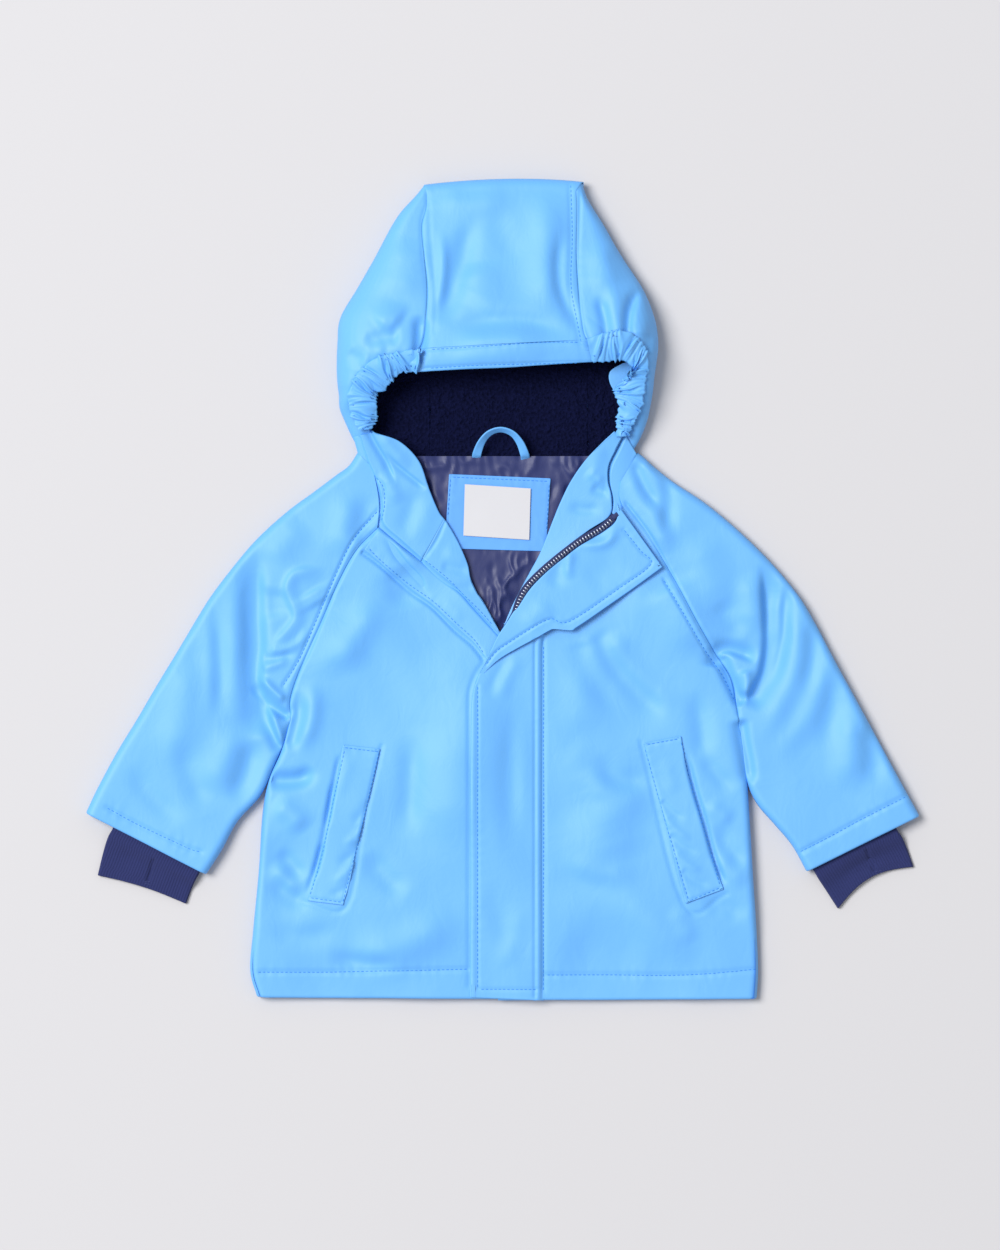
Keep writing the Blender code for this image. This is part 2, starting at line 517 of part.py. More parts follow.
def panel_height(points):
    """Outer face of the fronts at each x, y."""
    return TOP + folds_at(points, BODY_FOLDS)


def laid_quad(corners, columns, rows):
    """Grid of x, y over four corners, with a column for the height."""
    a, b, c, d = (np.array(corner, float) for corner in corners)
    across = np.linspace(0, 1, columns)[None, :, None]
    down = np.linspace(0, 1, rows)[:, None, None]
    flat = (a * (1 - across) + b * across) * (1 - down) + (d * (1 - across) + c * across) * down
    return np.concatenate([flat, np.zeros((rows, columns, 1))], axis=2)


def make_loop(finish):
    """The hanging loop: an arch of tape that stands up from the neck seam."""
    path = smooth(LOOP)
    along = np.gradient(path, axis=0)
    along /= np.linalg.norm(along, axis=1, keepdims=True)
    tilt = np.radians(LOOP_TILT) * np.sin(math.pi * np.linspace(0, 1, len(path)))
    flat = np.column_stack([-along[:, 1], along[:, 0], np.zeros(len(path))])
    flat /= np.linalg.norm(flat, axis=1, keepdims=True)
    aside = flat * np.cos(tilt)[:, None] + np.array([0, 0, 1.0]) * np.sin(tilt)[:, None]
    share = np.linspace(-0.5, 0.5, 3)[None, :, None] * LOOP_WIDTH
    cloth("hanging_loop", path[:, None] + aside[:, None] * share, TAPE, finish)


def make_zip(finish):
    """Zip tape with the line of its teeth, closed below the neck and turned out above."""
    path = smooth(ZIP)
    half = np.array([smooth(np.array(ZIP_HALF_WIDTH)[:, None])[:, 0]]).T
    along = np.gradient(path[:, :2], axis=0)
    along /= np.linalg.norm(along, axis=1, keepdims=True)
    aside = np.column_stack([-along[:, 1], along[:, 0]])
    rows = []
    for share in (-1, 0, 1):
        rows.append(np.column_stack([path[:, :2] - share * half * aside, path[:, 2]]))
    cloth("zip", np.stack(rows, axis=1), TAPE, finish)


def make_hood(blue, navy):
    """Hood shell of three panels, its pile lining, its brim and its two gathered casings."""
    for name, table in (("right", HOOD_SIDE_RIGHT), ("left", HOOD_SIDE_LEFT)):
        points = hood_side_points(table)
        cloth(f"hood_side_{name}", points, SHELL, blue)
        inner = points + inward(points) * (SHELL + LINING_GAP)
        cloth(f"hood_lining_{name}", inner[2:, 1:-1], FLEECE, navy)
    points = hood_centre_points()
    cloth("hood_centre", points, SHELL, blue)
    inner = points + inward(points) * (SHELL + LINING_GAP)
    cloth("hood_lining_centre", inner[:-1], FLEECE, navy)
    upper = points[-1] - (0, BRIM_GAP, 0)
    lower = smooth(BRIM, 2)
    share = np.linspace(0, 1, 4)[:, None, None]
    cloth("hood_brim", upper * (1 - share) + lower * share, SHELL, blue)
    make_casing("hood_casing_right", CASING_RIGHT, blue)
    make_casing("hood_casing_left", CASING_LEFT, blue)


def make_coat():
    """Build every piece of the coat."""
    clear_scene()
    finishes = {name: make_material(name) for name in COLOURS}
    blue = finishes["shell_blue"]
    make_back(blue)
    make_front("front_right", SIDE_RIGHT, RAGLAN_FRONT_RIGHT, CENTRE_RIGHT, NECK_EDGE_RIGHT, 1, blue)
    make_front("front_left", SIDE_LEFT, RAGLAN_FRONT_LEFT, CENTRE_LEFT, NECK_EDGE_LEFT, -1, blue)
    make_sleeve("sleeve_right", ARM_RIGHT, RAGLAN_FRONT_RIGHT, RAGLAN_BACK_RIGHT, OVERARM_RIGHT,
                HEAD_RIGHT, -1, blue)
    make_sleeve("sleeve_left", ARM_LEFT, RAGLAN_FRONT_LEFT, RAGLAN_BACK_LEFT, OVERARM_LEFT,
                HEAD_LEFT, 1, blue)
    make_cuff("cuff_right", CUFF_RIGHT, finishes["rib_navy"])
    make_cuff("cuff_left", CUFF_LEFT, finishes["rib_navy"])
    make_hood(blue, finishes["fleece_navy"])
    cloth("collar_right", between(COLLAR_RIGHT, 5), SHELL, blue)
    cloth("facing_right", between(FACING_RIGHT, 4), SHELL, blue)
    cloth("facing_left", between(FACING_LEFT, 5), SHELL, blue)
    cloth("collar_left", between(COLLAR_LEFT, 3), SHELL, blue)
    make_flap(blue)
    make_zip(finishes["zip_tape"])
    strip = np.concatenate([between(PLACKET, 3), np.zeros((len(PLACKET), 3, 1))], axis=2)
    strip[..., 2] = panel_height(strip) + LAID + PLACKET_THICK
    cloth("placket", strip, PLACKET_THICK, blue)
    for name, corners in (("pocket_right", POCKET_RIGHT), ("pocket_left", POCKET_LEFT)):
        welt = laid_quad(corners, 4, 9)
        welt[..., 2] = panel_height(welt) + LAID + WELT_THICK
        cloth(name, welt, WELT_THICK, blue)
    lining = smooth([(left, y, right, y) for left, right, y in LINING])
    share = np.linspace(0, 1, 6)[None, :, None]
    sheet = lining[:, None, :2] * (1 - share) + lining[:, None, 2:] * share
    sheet = np.concatenate([sheet, np.full((len(lining), 6, 1), PADDED + SEAM + TAFFETA)], axis=2)
    cloth("back_lining", sheet, TAFFETA, finishes["taffeta_navy"])
    patch = laid_quad(PATCH, 4, 4)
    patch[..., 2] = PADDED + TAFFETA + 2 * SEAM + PATCH_THICK
    cloth("neck_patch", patch, PATCH_THICK, blue)
    label = laid_quad(LABEL, 3, 3)
    label[..., 2] = PADDED + TAFFETA + 3 * SEAM + PATCH_THICK + LABEL_THICK
    cloth("label", label, LABEL_THICK, finishes["label_white"])
    make_loop(blue)


make_coat()
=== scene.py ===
"""Looks of a small child's padded raincoat that lies flat on its back, neck open.

Lengths in the tables are millimetres and MM turns them into metres.  +X is the wearer's
left, +Y runs from the hem to the hood, and the coat lies on z = 0.  Each cloth piece is a
grid whose points come from short tables of edges, soft folds and seams.
"""

import logging
import math
from abc import ABC, abstractmethod
from dataclasses import dataclass, field
from enum import Enum

import bmesh
import bpy
import numpy as np
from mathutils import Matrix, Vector, noise
from mathutils.bvhtree import BVHTree


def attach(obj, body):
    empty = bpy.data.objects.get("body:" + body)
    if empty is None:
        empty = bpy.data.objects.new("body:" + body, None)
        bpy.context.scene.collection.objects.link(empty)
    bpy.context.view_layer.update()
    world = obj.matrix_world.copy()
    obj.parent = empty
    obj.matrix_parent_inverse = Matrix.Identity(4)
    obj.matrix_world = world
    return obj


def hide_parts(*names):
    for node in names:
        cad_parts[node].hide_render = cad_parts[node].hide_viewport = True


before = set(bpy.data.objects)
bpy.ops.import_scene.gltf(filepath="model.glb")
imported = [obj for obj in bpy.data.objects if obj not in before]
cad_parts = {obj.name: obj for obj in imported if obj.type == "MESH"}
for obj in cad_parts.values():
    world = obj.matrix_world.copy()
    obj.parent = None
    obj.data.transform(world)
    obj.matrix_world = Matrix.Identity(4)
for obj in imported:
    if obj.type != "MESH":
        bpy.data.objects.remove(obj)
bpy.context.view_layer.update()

LOG = logging.getLogger("raincoat")
Array = np.ndarray
Row = tuple[float, ...]
Table = tuple[Row, ...]
MM = 0.001
BODY = "root"

# Heights, as in the solids
TOP = 11.6
SIDE_SEAM = 5.8
SEAM = 0.3              # gap between two pieces at a seam
SIDE_ROUND = 4.8        # radius of a panel's edge
CREASE = (2.2, 0.8)     # how far the first points from a sewn edge lie lower
HEM_DROP = 3.4          # fall of the cloth at the coat's hem
HEM_LINE = -286.0       # y of the hem
HEM_RISE = 70.0         # length over which the cloth falls
MAX_DENT = 8.0          # deepest fold
GRAIN = 1.5             # spacing of the points of a large panel
FINE = 1.0              # spacing of the points of a small piece
STEPS = 12              # points of a curve between two rows of a table
LINE_STEPS = 5          # the same for the line of a fold or a seam
UPPER_SHARE = 0.7       # share of a piece's points that lie below its top ones
TAPER = (1.0, 0.6, 0.25)    # shares by which an edge's first points are moved
QUARTER = np.linspace(0, math.pi / 2, 9)
UP = np.array([0, 0, 1.0])
SUFFIX = "_cloth"

# Edges and seams from the hem up.  Columns: x, y
SIDE_RIGHT = (
    (-171, -284), (-176, -265), (-174, -237), (-170, -195), (-167.5, -156), (-163, -132),
    (-154, -111), (-147.5, -90))
SIDE_LEFT = (
    (178, -285), (179, -265), (178, -237), (175.5, -198), (173, -156), (171, -128), (168.5, -107),
    (165, -87))
RAGLAN_FRONT_RIGHT = (
    (-147.5, -90), (-147.7, -75), (-141, -54.5), (-127.5, -24), (-112.7, 9.5), (-100.8, 29.8),
    (-87, 44))
RAGLAN_FRONT_LEFT = (
    (165, -87), (160.5, -62), (149, -43), (136, -20.5), (120, 9), (103, 37), (84.5, 58.5))
RAGLAN_BACK_RIGHT = (
    (-147.5, -90), (-138, -65), (-126, -39), (-114, -13), (-103, 9), (-93, 30), (-83, 50),
    (-74, 71), (-68, 91.7))
RAGLAN_BACK_LEFT = (
    (165, -87), (158, -63), (143, -35), (127, -5), (113, 26), (104, 44), (96, 60), (89, 76),
    (83, 91.7))
CENTRE_RIGHT = (
    (-3.2, -285), (-3.2, -265), (-3.2, -237), (-3.2, -195), (-3.2, -156), (-3.2, -120),
    (-3.2, -90), (-3.2, -62))
CENTRE_LEFT = (
    (-2.8, -286), (-2.8, -265), (-2.8, -237), (-2.8, -198), (-2.8, -156), (-2.8, -120),
    (-2.8, -86), (-2.8, -56))
NECK_EDGE_RIGHT = ((-3.2, -62), (-8, -41), (-17, -23.5), (-31, -8), (-47, 7), (-63, 21), (-80, 36))
NECK_EDGE_LEFT = ((-2.8, -56), (2, -37), (11, -17), (27, 7), (50, 29), (71, 45), (80, 51))
# Sleeves from the hem to the armhole.  Columns: underarm x, y, overarm x, y
ARM_RIGHT = (
    (-207, -198, -291, -155), (-196, -181, -283, -138), (-185, -161, -269, -112),
    (-169, -143, -255, -89), (-160, -124, -241, -65), (-151.5, -105, -227, -42),
    (-147.5, -90, -214, -20))
ARM_LEFT = (
    (213, -196, 292, -157), (203, -178, 282, -139), (190.5, -163, 270, -117),
    (178.5, -149, 256, -91), (171.5, -134, 244, -69), (167.5, -112, 232, -47),
    (165, -87, 220, -24))
OVERARM_RIGHT = (
    (-214, -20), (-204, -4), (-189, 16), (-171, 37), (-150, 56), (-131, 70), (-115, 82))
OVERARM_LEFT = ((220, -24), (208, -4), (190, 18), (168, 40), (143, 61), (119, 77), (104, 89))
HEAD_RIGHT = ((-87, 44, -115, 82), (-86, 63, -107, 88), (-90, 86, -101, 97))
HEAD_LEFT = ((84.5, 58.5, 104, 89), (82, 67, 100, 93), (83, 77, 95, 97))
# Hood sides from the fold to the neck.
# Columns: seam x, y, z, outline x, y, z, underside x, y
HOOD_SIDE_RIGHT = (
    (-52.8, 281, 15, -54.5, 287.5, 7.5, -50.2, 281), (-53, 270, 17, -69, 270, 7.5, -50.2, 270),
    (-56, 254, 19, -78, 254, 8, -50.2, 254), (-54, 233, 22, -89, 233, 8.5, -50.2, 233),
    (-52, 212, 26, -101, 212, 9, -50.2, 211), (-53, 190, 31, -113, 191, 10, -50.2, 190),
    (-57, 169, 35, -115, 173, 11, -50.2, 169), (-70, 161, 32.5, -115.5, 156, 11, -50.2, 154),
    (-84, 155, 29, -115, 145, 10, -50.2, 141), (-95, 146, 25, -114, 137, 9, -50.2, 130),
    (-98, 135, 21, -113.5, 128, 8.5, -50.2, 119), (-96, 122, 16.6, -110, 119, 8, -50.2, 109),
    (-92.5, 113, 14.4, -105, 108, 7.5, -50.2, 101), (-89, 105, 11.4, -100.6, 100, 7.2, -50.2, 96),
    (-86, 98.5, 11, -100, 94, 6.8, -50.2, 92.3))
HOOD_SIDE_LEFT = (
    (54.8, 281, 15, 57, 287.5, 7.5, 59.9, 281), (55.3, 270, 17, 68, 270, 7.5, 59.9, 270),
    (55.3, 254, 19, 78, 254, 8, 59.9, 254), (54.3, 232, 22, 90, 232, 8.5, 59.9, 232),
    (54.3, 211, 26, 101, 211, 9, 59.9, 211), (55.3, 190, 31, 107, 191, 10, 59.9, 190),
    (59.3, 175, 35, 109, 177, 11, 59.9, 175), (72, 171, 33, 109, 168, 11, 59.9, 162),
    (84, 170, 30, 108, 160, 10, 59.9, 152), (92, 163, 26.5, 106.5, 150, 10, 59.9, 141),
    (93, 152, 23.5, 105.5, 140, 9, 59.9, 131), (89.5, 142, 21, 104, 131, 8.5, 59.9, 121),
    (88, 130, 18, 102, 121, 8, 59.9, 112), (87, 121, 15.8, 98.5, 111, 8, 59.9, 104),
    (85.6, 113, 12, 94.5, 103, 7.5, 59.9, 97), (84.6, 106, 10.6, 91.5, 98, 7, 59.9, 92.3))
# Hood centre over the top.  Columns: y at the right seam, y at the left, height
HOOD_CENTRE_TOP = (
    (281, 281, 15), (270, 270, 17), (254, 254, 19), (233, 232, 22), (212, 211, 26), (190, 190, 31),
    (169, 175, 35))
# Free edge of the brim.  Columns: x, y, z
BRIM = ((-58.4, 152.5, 33.2), (-31, 154, 36), (-1, 155, 37.2), (30, 157, 36.2), (63.4, 159, 33.4))
# Gathered casings.  Columns: outer x, y, z, inner x, y, z
CASING_RIGHT = (
    (-57, 168.4, 37.4, -57.6, 152.2, 34), (-74, 166, 37, -71, 151, 32),
    (-91, 161, 34.4, -80, 142, 28.5), (-102.5, 149, 29.8, -87, 137, 25.5),
    (-107.5, 135, 24.6, -86.5, 128, 22.5), (-105, 122, 21.4, -87, 120, 19.4),
    (-100.5, 112.5, 20, -91, 113, 17.6))
CASING_LEFT = (
    (59, 175.6, 37.4, 62.6, 159, 34.4), (73, 180, 37.6, 74, 159.5, 33.4),
    (87, 181, 35.8, 85, 160, 31.5), (98, 173, 31.6, 91, 154, 28.6), (102.5, 160, 28, 85, 147, 26),
    (100.2, 145, 25.4, 78, 141, 23.6), (97.6, 128, 22.6, 80, 130, 21),
    (92, 117, 20.4, 79.5, 116.5, 18.6), (88, 108, 17, 80, 108, 16))
# The turned-in end of the left casing, seen inside it.  Columns as for the casings
CASING_END = (
    (92, 161, 21, 84, 159, 20), (95, 153, 19, 75.5, 153.5, 18.6), (95, 146, 18, 75, 146, 17.6),
    (92, 139, 17.5, 79.5, 138, 17.4), (90, 131, 17, 86, 131, 17))
# Collar and facings.  Columns: outer x, y, z, inner x, y, z
COLLAR_RIGHT = (
    (-99, 109, 15.6, -90.5, 111, 17), (-94.3, 92, 13.6, -72, 105, 16),
    (-88.2, 77, 12.4, -58, 91, 14.2), (-84.4, 62, 12, -51, 72, 12), (-84, 47.5, 12, -46, 60, 10.8),
    (-71.5, 35.6, 12.2, -43, 54, 10.4), (-56, 21.8, 12.2, -40.3, 51, 10.4))
FACING_RIGHT = (
    (-56, 21.8, 12.2, -40.3, 51, 10.4), (-49, 15.4, 12.2, -34, 41, 10),
    (-43, 10.5, 12.2, -28.4, 30.2, 10), (-36, 5.2, 12.2, -24, 19.5, 10),
    (-29.5, 0.2, 12.2, -21.8, 9, 10.4), (-25, -5, 12.2, -17.5, -0.5, 10.6),
    (-20.5, -10, 12.2, -13.7, -5.8, 11), (-10.4, -21.2, 12.2, -7, -17.6, 11.4),
    (-3.4, -28.6, 12.2, -2, -27, 12), (0.5, -34, 12.2, 2, -33, 12))
FACING_LEFT = (
    (84.6, 108.6, 15, 78.4, 111.6, 16.4), (79.6, 99, 14, 68, 102, 15),
    (74.6, 88, 12.6, 58, 91.5, 13.4), (74, 77, 12.2, 48, 77, 11.8), (76.6, 64, 12.2, 41, 63, 10.8),
    (75, 52.6, 12.2, 36, 51, 10.4), (61, 43, 12.2, 31, 38, 10), (47, 32.6, 12.2, 26, 26, 10),
    (34, 20.6, 12.2, 20, 15, 10.4), (23, 10.4, 12.2, 14, 4, 10.8),
    (12, -5.6, 12.2, 6.4, -11, 11.4), (2.6, -22.6, 12.2, 0.6, -25, 12))
COLLAR_LEFT = (
    (86, 109.6, 15, 92.4, 98.8, 12), (80.6, 98.6, 14, 88.4, 88.4, 12),
    (75.6, 88, 12.8, 83, 77, 12), (75, 77, 12.2, 81.4, 66.8, 12), (77.4, 64, 12.2, 83.4, 58.2, 12),
    (75.6, 53.6, 12, 84.4, 50.6, 12))
# Storm flap below the turn.  Columns: left x, y, right x, y
FLAP_CLOSED = (
    (-22.4, -283.8, 29.6, -286), (-22.4, -265, 29.6, -265), (-22.2, -216, 29.6, -216),
    (-22, -146, 29.6, -146), (-21.6, -90, 29.6, -92), (-20.4, -72, 29.6, -70),
    (-15, -55, 29.6, -52), (-6, -41, 29.8, -38), (4, -30, 32, -30))
# Storm flap above the turn.  Columns: left or upper x, y, right or lower x, y
FLAP_TURNED = (
    (-20.8, -74, -18.6, -73), (-18.7, -64, -15.2, -61.4), (-15.4, -56.4, -9.4, -54),
    (-11.2, -48, -1, -46.8), (-7.3, -40, 10.6, -39.8), (-2.9, -31, 25, -32), (2.4, -23, 33, -27.4),
    (4.6, -19.6, 36.6, -26.3), (8, -14.2, 48.4, -27.2), (11.3, -10.8, 51.6, -25.4),
    (18.6, 0.4, 61, -19.2), (27.3, 9.9, 73, -10.8), (39.6, 20.5, 84, -3.2), (55.4, 32.6, 94, 3.8),
    (71.6, 42.4, 103, 10.4), (80, 50.4, 109, 14.8), (80, 61.4, 112, 17))
PLACKET = (
    (-86.5, 45.4, -96, 29), (-71.2, 32.6, -81.2, 15.8), (-56, 21.2, -65.6, 2.6),
    (-43, 10, -53.2, -6.3), (-29.5, -0.2, -38.5, -18.5), (-20.5, -10.4, -28, -28.3),
    (-10.4, -21.6, -19.6, -36), (-1.4, -31, -10.4, -48), (1.4, -34.7, -7, -51.5))
# Zip from the V to its top stop.  Columns: x, y, z
ZIP_OPEN = (
    (0, -100, 9.6), (0, -50, 9.6), (3, -32, 10.8), (8.6, -17, 13.2), (12.4, -5.6, 15.2),
    (17.4, 3, 15.6), (25.6, 11.8, 15.8), (38, 22.6, 15.8), (54, 34.8, 15.8), (70, 44.6, 15.8),
    (79, 52.6, 15.8))
POCKET_RIGHT = (
    (-111, -107, -85, -110), (-114.7, -125, -89.6, -131), (-118.5, -148, -96, -158),
    (-124, -172, -101.6, -180), (-129.5, -194, -106, -202), (-136, -216, -111, -219))
POCKET_LEFT = (
    (99, -106, 125, -101), (104, -126, 128, -119), (110.5, -148, 133, -138),
    (116.4, -170, 139.4, -160), (122, -194, 147.4, -186), (128, -218, 154.6, -208))
LINING = (
    (-67, 75, 94.6), (-58, 68, 71), (-50, 60, 50), (-42, 50, 26), (-28, 34, -2), (-14, 14, -37),
    (-9, 8, -50))
PATCH = ((-37, 82), (34, 79), (31, 28), (-40, 30))
LABEL = ((-26, 75), (20, 72), (19, 36), (-27, 39))
LOOP = (
    (-17.8, 92.5, 5.4), (-17.4, 96, 9.6), (-14, 104, 13), (-8.6, 110, 14.8), (-1, 112.4, 15.4),
    (6.6, 110, 14.8), (12, 104, 13), (15.6, 96, 9.6), (16.4, 92.5, 5.4))
CUFF_RIGHT = (
    (-207, -187, -268, -156, 4.4, 2.8), (-212, -197.5, -272.5, -166, 4.4, 2.8),
    (-214.6, -202.5, -275.6, -171.6, 3.6, 2.8), (-217.4, -208.6, -279, -182, 0, 3.4),
    (-221, -218.5, -283, -198.6, 0, 3.4))
CUFF_LEFT = (
    (213, -186, 272, -157, 4.4, 2.8), (218.4, -196, 276.4, -166.6, 4.4, 2.8),
    (221.4, -201.2, 279.6, -171.4, 3.6, 2.8), (227, -209.6, 283.6, -180, 0, 3.4),
    (235, -222, 288, -192.6, 0, 3.4))

# Soft folds.  Each row: height, half width, its line as x, y, x, y, then, where they aren't 0,
# 1 and 1, its lean and its fades at the start and at the end.  A lean of 1 makes the left of the
# line steep, and -1 the right.
FRONT_FOLDS = (
    (-1.8, 1.7, (-113, -112, -120, -148, -128, -186, -137, -213), 0, 0.3, 0.3),
    (-2.4, 1.9, (-117, -131, -120, -148, -123, -166), 0, 0.9, 0.9),
    (-2.4, 1.9, (-125, -174, -128, -186, -132, -201), 0, 0.9, 0.9),
    (-3.4, 1.9, (128, -110, 134, -136, 141, -159, 148, -185, 156, -206), 0, 0.5, 0.3),
    (6, 27, (-27, -27, -24, -76, -24, -146, -28, -209)),
    (3.6, 10.8, (-85, -5, -104, -34, -117, -55)),
    (-3, 10.8, (-74, 19, -69, 5, -66, -14)),
    (-3.4, 5, (-143, -68, -142, -86, -146, -103, -151, -111), 0, 1, 0.6),
    (2.8, 6.4, (-136, -60, -132, -77, -136, -98, -148, -112)),
    (-6.3, 5.2, (-165, -131, -152, -132, -139, -130, -132, -121), 0, 0.6),
    (3.3, 8.1, (-161, -146, -147, -156, -137, -168)),
    (-2.8, 8.1, (-62, -97, -64, -139, -66, -174)),
    (-2.7, 8.1, (-95, -181, -80, -201, -64, -212)),
    (3.9, 13.5, (-110, -251, -78, -251, -50, -238, -31, -219)),
    (-2.7, 5.8, (-123, -255, -96, -260, -69, -260)),
    (-2.5, 5.2, (-156, -180, -146, -192, -137, -201)),
    (2.2, 5.8, (-161, -189, -150, -203, -140, -212)),
    (-2.1, 5.8, (-162, -201, -148, -213, -133, -219)),
    (-1.8, 8.1, (-168, -233, -141, -241, -110, -236)),
    (3, 14.9, (115, 7, 130, -21, 141, -45), 0, 0.5),
    (-1.8, 7, (66, -26, 74, -45, 87, -62, 100, -75, 116, -86), 0, 0.3, 0.6),
    (1.3, 7, (60, -28, 67, -48, 78, -65, 98, -82), 0, 0.3),
    (-1, 8, (53, -34, 59, -54, 70, -71, 88, -87), 0, 0.3),
    (1.9, 9, (77, -26, 84, -47, 101, -65, 123, -84), 0, 0.5, 0.7),
    (1.2, 12, (50, -51, 55, -76, 49, -104)),
    (1, 12, (45, -107, 56, -119, 62, -139)),
    (2.2, 9, (59, -121, 70, -139, 88, -145, 106, -141)),
    (-1.8, 6.8, (67, -112, 77, -128, 91, -132, 104, -126)),
    (-2.4, 6.8, (133, -68, 138, -86, 140, -104, 140, -122)),
    (2.4, 21.6, (71, -143, 78, -170, 84, -191)),
    (2.2, 12.2, (77, -210, 107, -234, 137, -259)),
    (1.5, 8.1, (41, -187, 69, -196, 97, -196)),
    (-1.9, 5.8, (139, -112, 150, -128, 164, -140)),
    (1.7, 5.8, (143, -146, 151, -154, 162, -161)),
    (-1.9, 5.8, (150, -161, 158, -178, 171, -194)),
    (1.7, 6.8, (150, -181, 160, -196, 172, -205)),
    (-1.7, 6.8, (139, -222, 155, -220, 172, -229)),
    (1.4, 6.8, (119, -219, 126, -231, 133, -247)),
    (-1.3, 9.5, (32, -195, 62, -205, 90, -206)),
    (-3, 24, (-69, 22, -50, -20, -35, -62)),
    (2.6, 16, (-126, -10, -120, -34, -113, -62)),
    (2.4, 20, (-49, -90, -43, -139, -46, -181)),
    (-2.4, 18, (-162, -167, -150, -202, -141, -237)),
    (2.8, 22, (69, -10, 104, -10, 143, -34)),
    (-2.6, 18, (62, -41, 90, -69, 122, -90)),
    (2.6, 22, (48, -146, 62, -181, 97, -230)),
    (-2.2, 20, (104, -104, 97, -146, 104, -188)),
    (-2, 20, (41, -244, 69, -251, 104, -258)),
)
ARM_FOLDS = (
    (-8, 9, (-171, 30, -172, 8, -172, -14, -171, -37, -173, -59, -170, -80, -164, -103), 0.6, 0.8,
        0.4),
    (3.4, 9, (-179, 23, -183, 1, -184, -34, -182, -69, -178, -96)),
    (1.5, 6.5, (-210, -6, -205, -34, -204, -69, -208, -98)),
    (-1.2, 5.4, (-202, -7, -198, -34, -197, -69, -200, -93)),
    (2.2, 4.4, (-123, 15, -141, 14, -148, 9, -150, 0, -144, -16, -148, -25, -161, -39), -0.5, 0.6,
        0.4),
    (2.2, 12, (-134, 2, -127, -10)),
    (-2.4, 9, (-158, 4, -160, -10, -158, -21)),
    (1.6, 3, (-162, -40, -153, -41, -141, -35, -135, -24), 0, 0.3),
    (-1.6, 3, (-167, -47, -155, -46, -144, -42), 0, 0.3),
    (1.5, 2.8, (-168, -54, -158, -51, -148, -46), 0, 0.3),
    (-5.5, 3.4, (-175, -65, -167, -75, -158, -83, -148, -89), -0.4, 0.6, 0.3),
    (3, 3, (-171, -58, -161, -68, -151, -77), 0, 1, 0.5),
    (-4.4, 3.6, (-168, -72, -164, -87, -160, -99, -153, -113), 0.5, 0.6, 0.4),
    (2.6, 3.2, (-161, -84, -156, -98, -152, -108), 0, 0.6, 0.6),
    (-3.4, 7.7, (-171, -100, -179, -128, -189, -150)),
    (2.8, 11, (-102, 70, -109, 43, -111, 22)),
    (-2.2, 8.8, (-95, 71, -98, 47, -101, 29)),
    (2.2, 11, (-137, 50, -153, 33, -164, 18)),
    (3.1, 13.2, (-214, -41, -224, -86, -228, -125)),
    (2.2, 9.9, (-183, -93, -195, -121, -203, -143)),
    (-2.2, 8.8, (-224, -100, -216, -132, -204, -156)),
    (-1.7, 7.7, (-260, -119, -246, -142, -221, -163)),
    (-8, 6, (182, 22, 185, -2, 186, -23, 186, -41, 183, -58, 177, -70, 171, -82), -0.6, 0.8, 0.3),
    (2.6, 8.8, (172, 15, 175, -9, 176, -31)),
    (-3, 4, (200, 8, 198, -10, 197, -31, 192, -54, 187, -70), -0.3, 0.6),
    (1.8, 5, (191, 1, 190, -20, 188, -41), 0.2),
    (2.2, 8, (204, -6, 207, -34, 203, -59, 192, -84, 178, -110), 0, 0.6),
    (-1.7, 6, (217, -17, 217, -48, 211, -76)),
    (1.8, 8, (227, -34, 224, -63, 211, -91, 186, -121)),
    (-2.5, 9, (231, -48, 231, -83, 224, -115)),
    (3.6, 12, (244, -76, 245, -107, 238, -143)),
    (-2.6, 8.8, (255, -87, 259, -115, 258, -140)),
    (-6.5, 4.4, (150, -54, 151, -44, 158, -41, 168, -44, 179, -49), -0.6, 0.3, 0.8),
    (-6, 4, (153, -44, 158, -58, 163, -69, 168, -80), 0, 0.3, 0.3),
    (3.2, 4.4, (169, -54, 171, -63, 169, -73), 0, 0.6, 0.6),
    (-5, 4.6, (167, -89, 169, -104, 172, -119, 174, -136), 0.3, 0.3, 0.6),
    (2.5, 6.6, (102, 67, 108, 47, 118, 25)),
    (1.3, 5, (88, 85, 94, 68, 104, 50)),
    (-1.7, 3.6, (92, 91, 99, 74, 111, 56), 0, 0.5),
    (1.4, 5, (99, 93, 108, 77, 120, 57), 0, 0.5),
    (-2.2, 5.5, (112, 85, 116, 64, 116, 36)),
    (2.8, 15.4, (134, 43, 143, 15, 151, -16)),
    (-2, 8.8, (150, -6, 160, -21, 168, -34)),
)
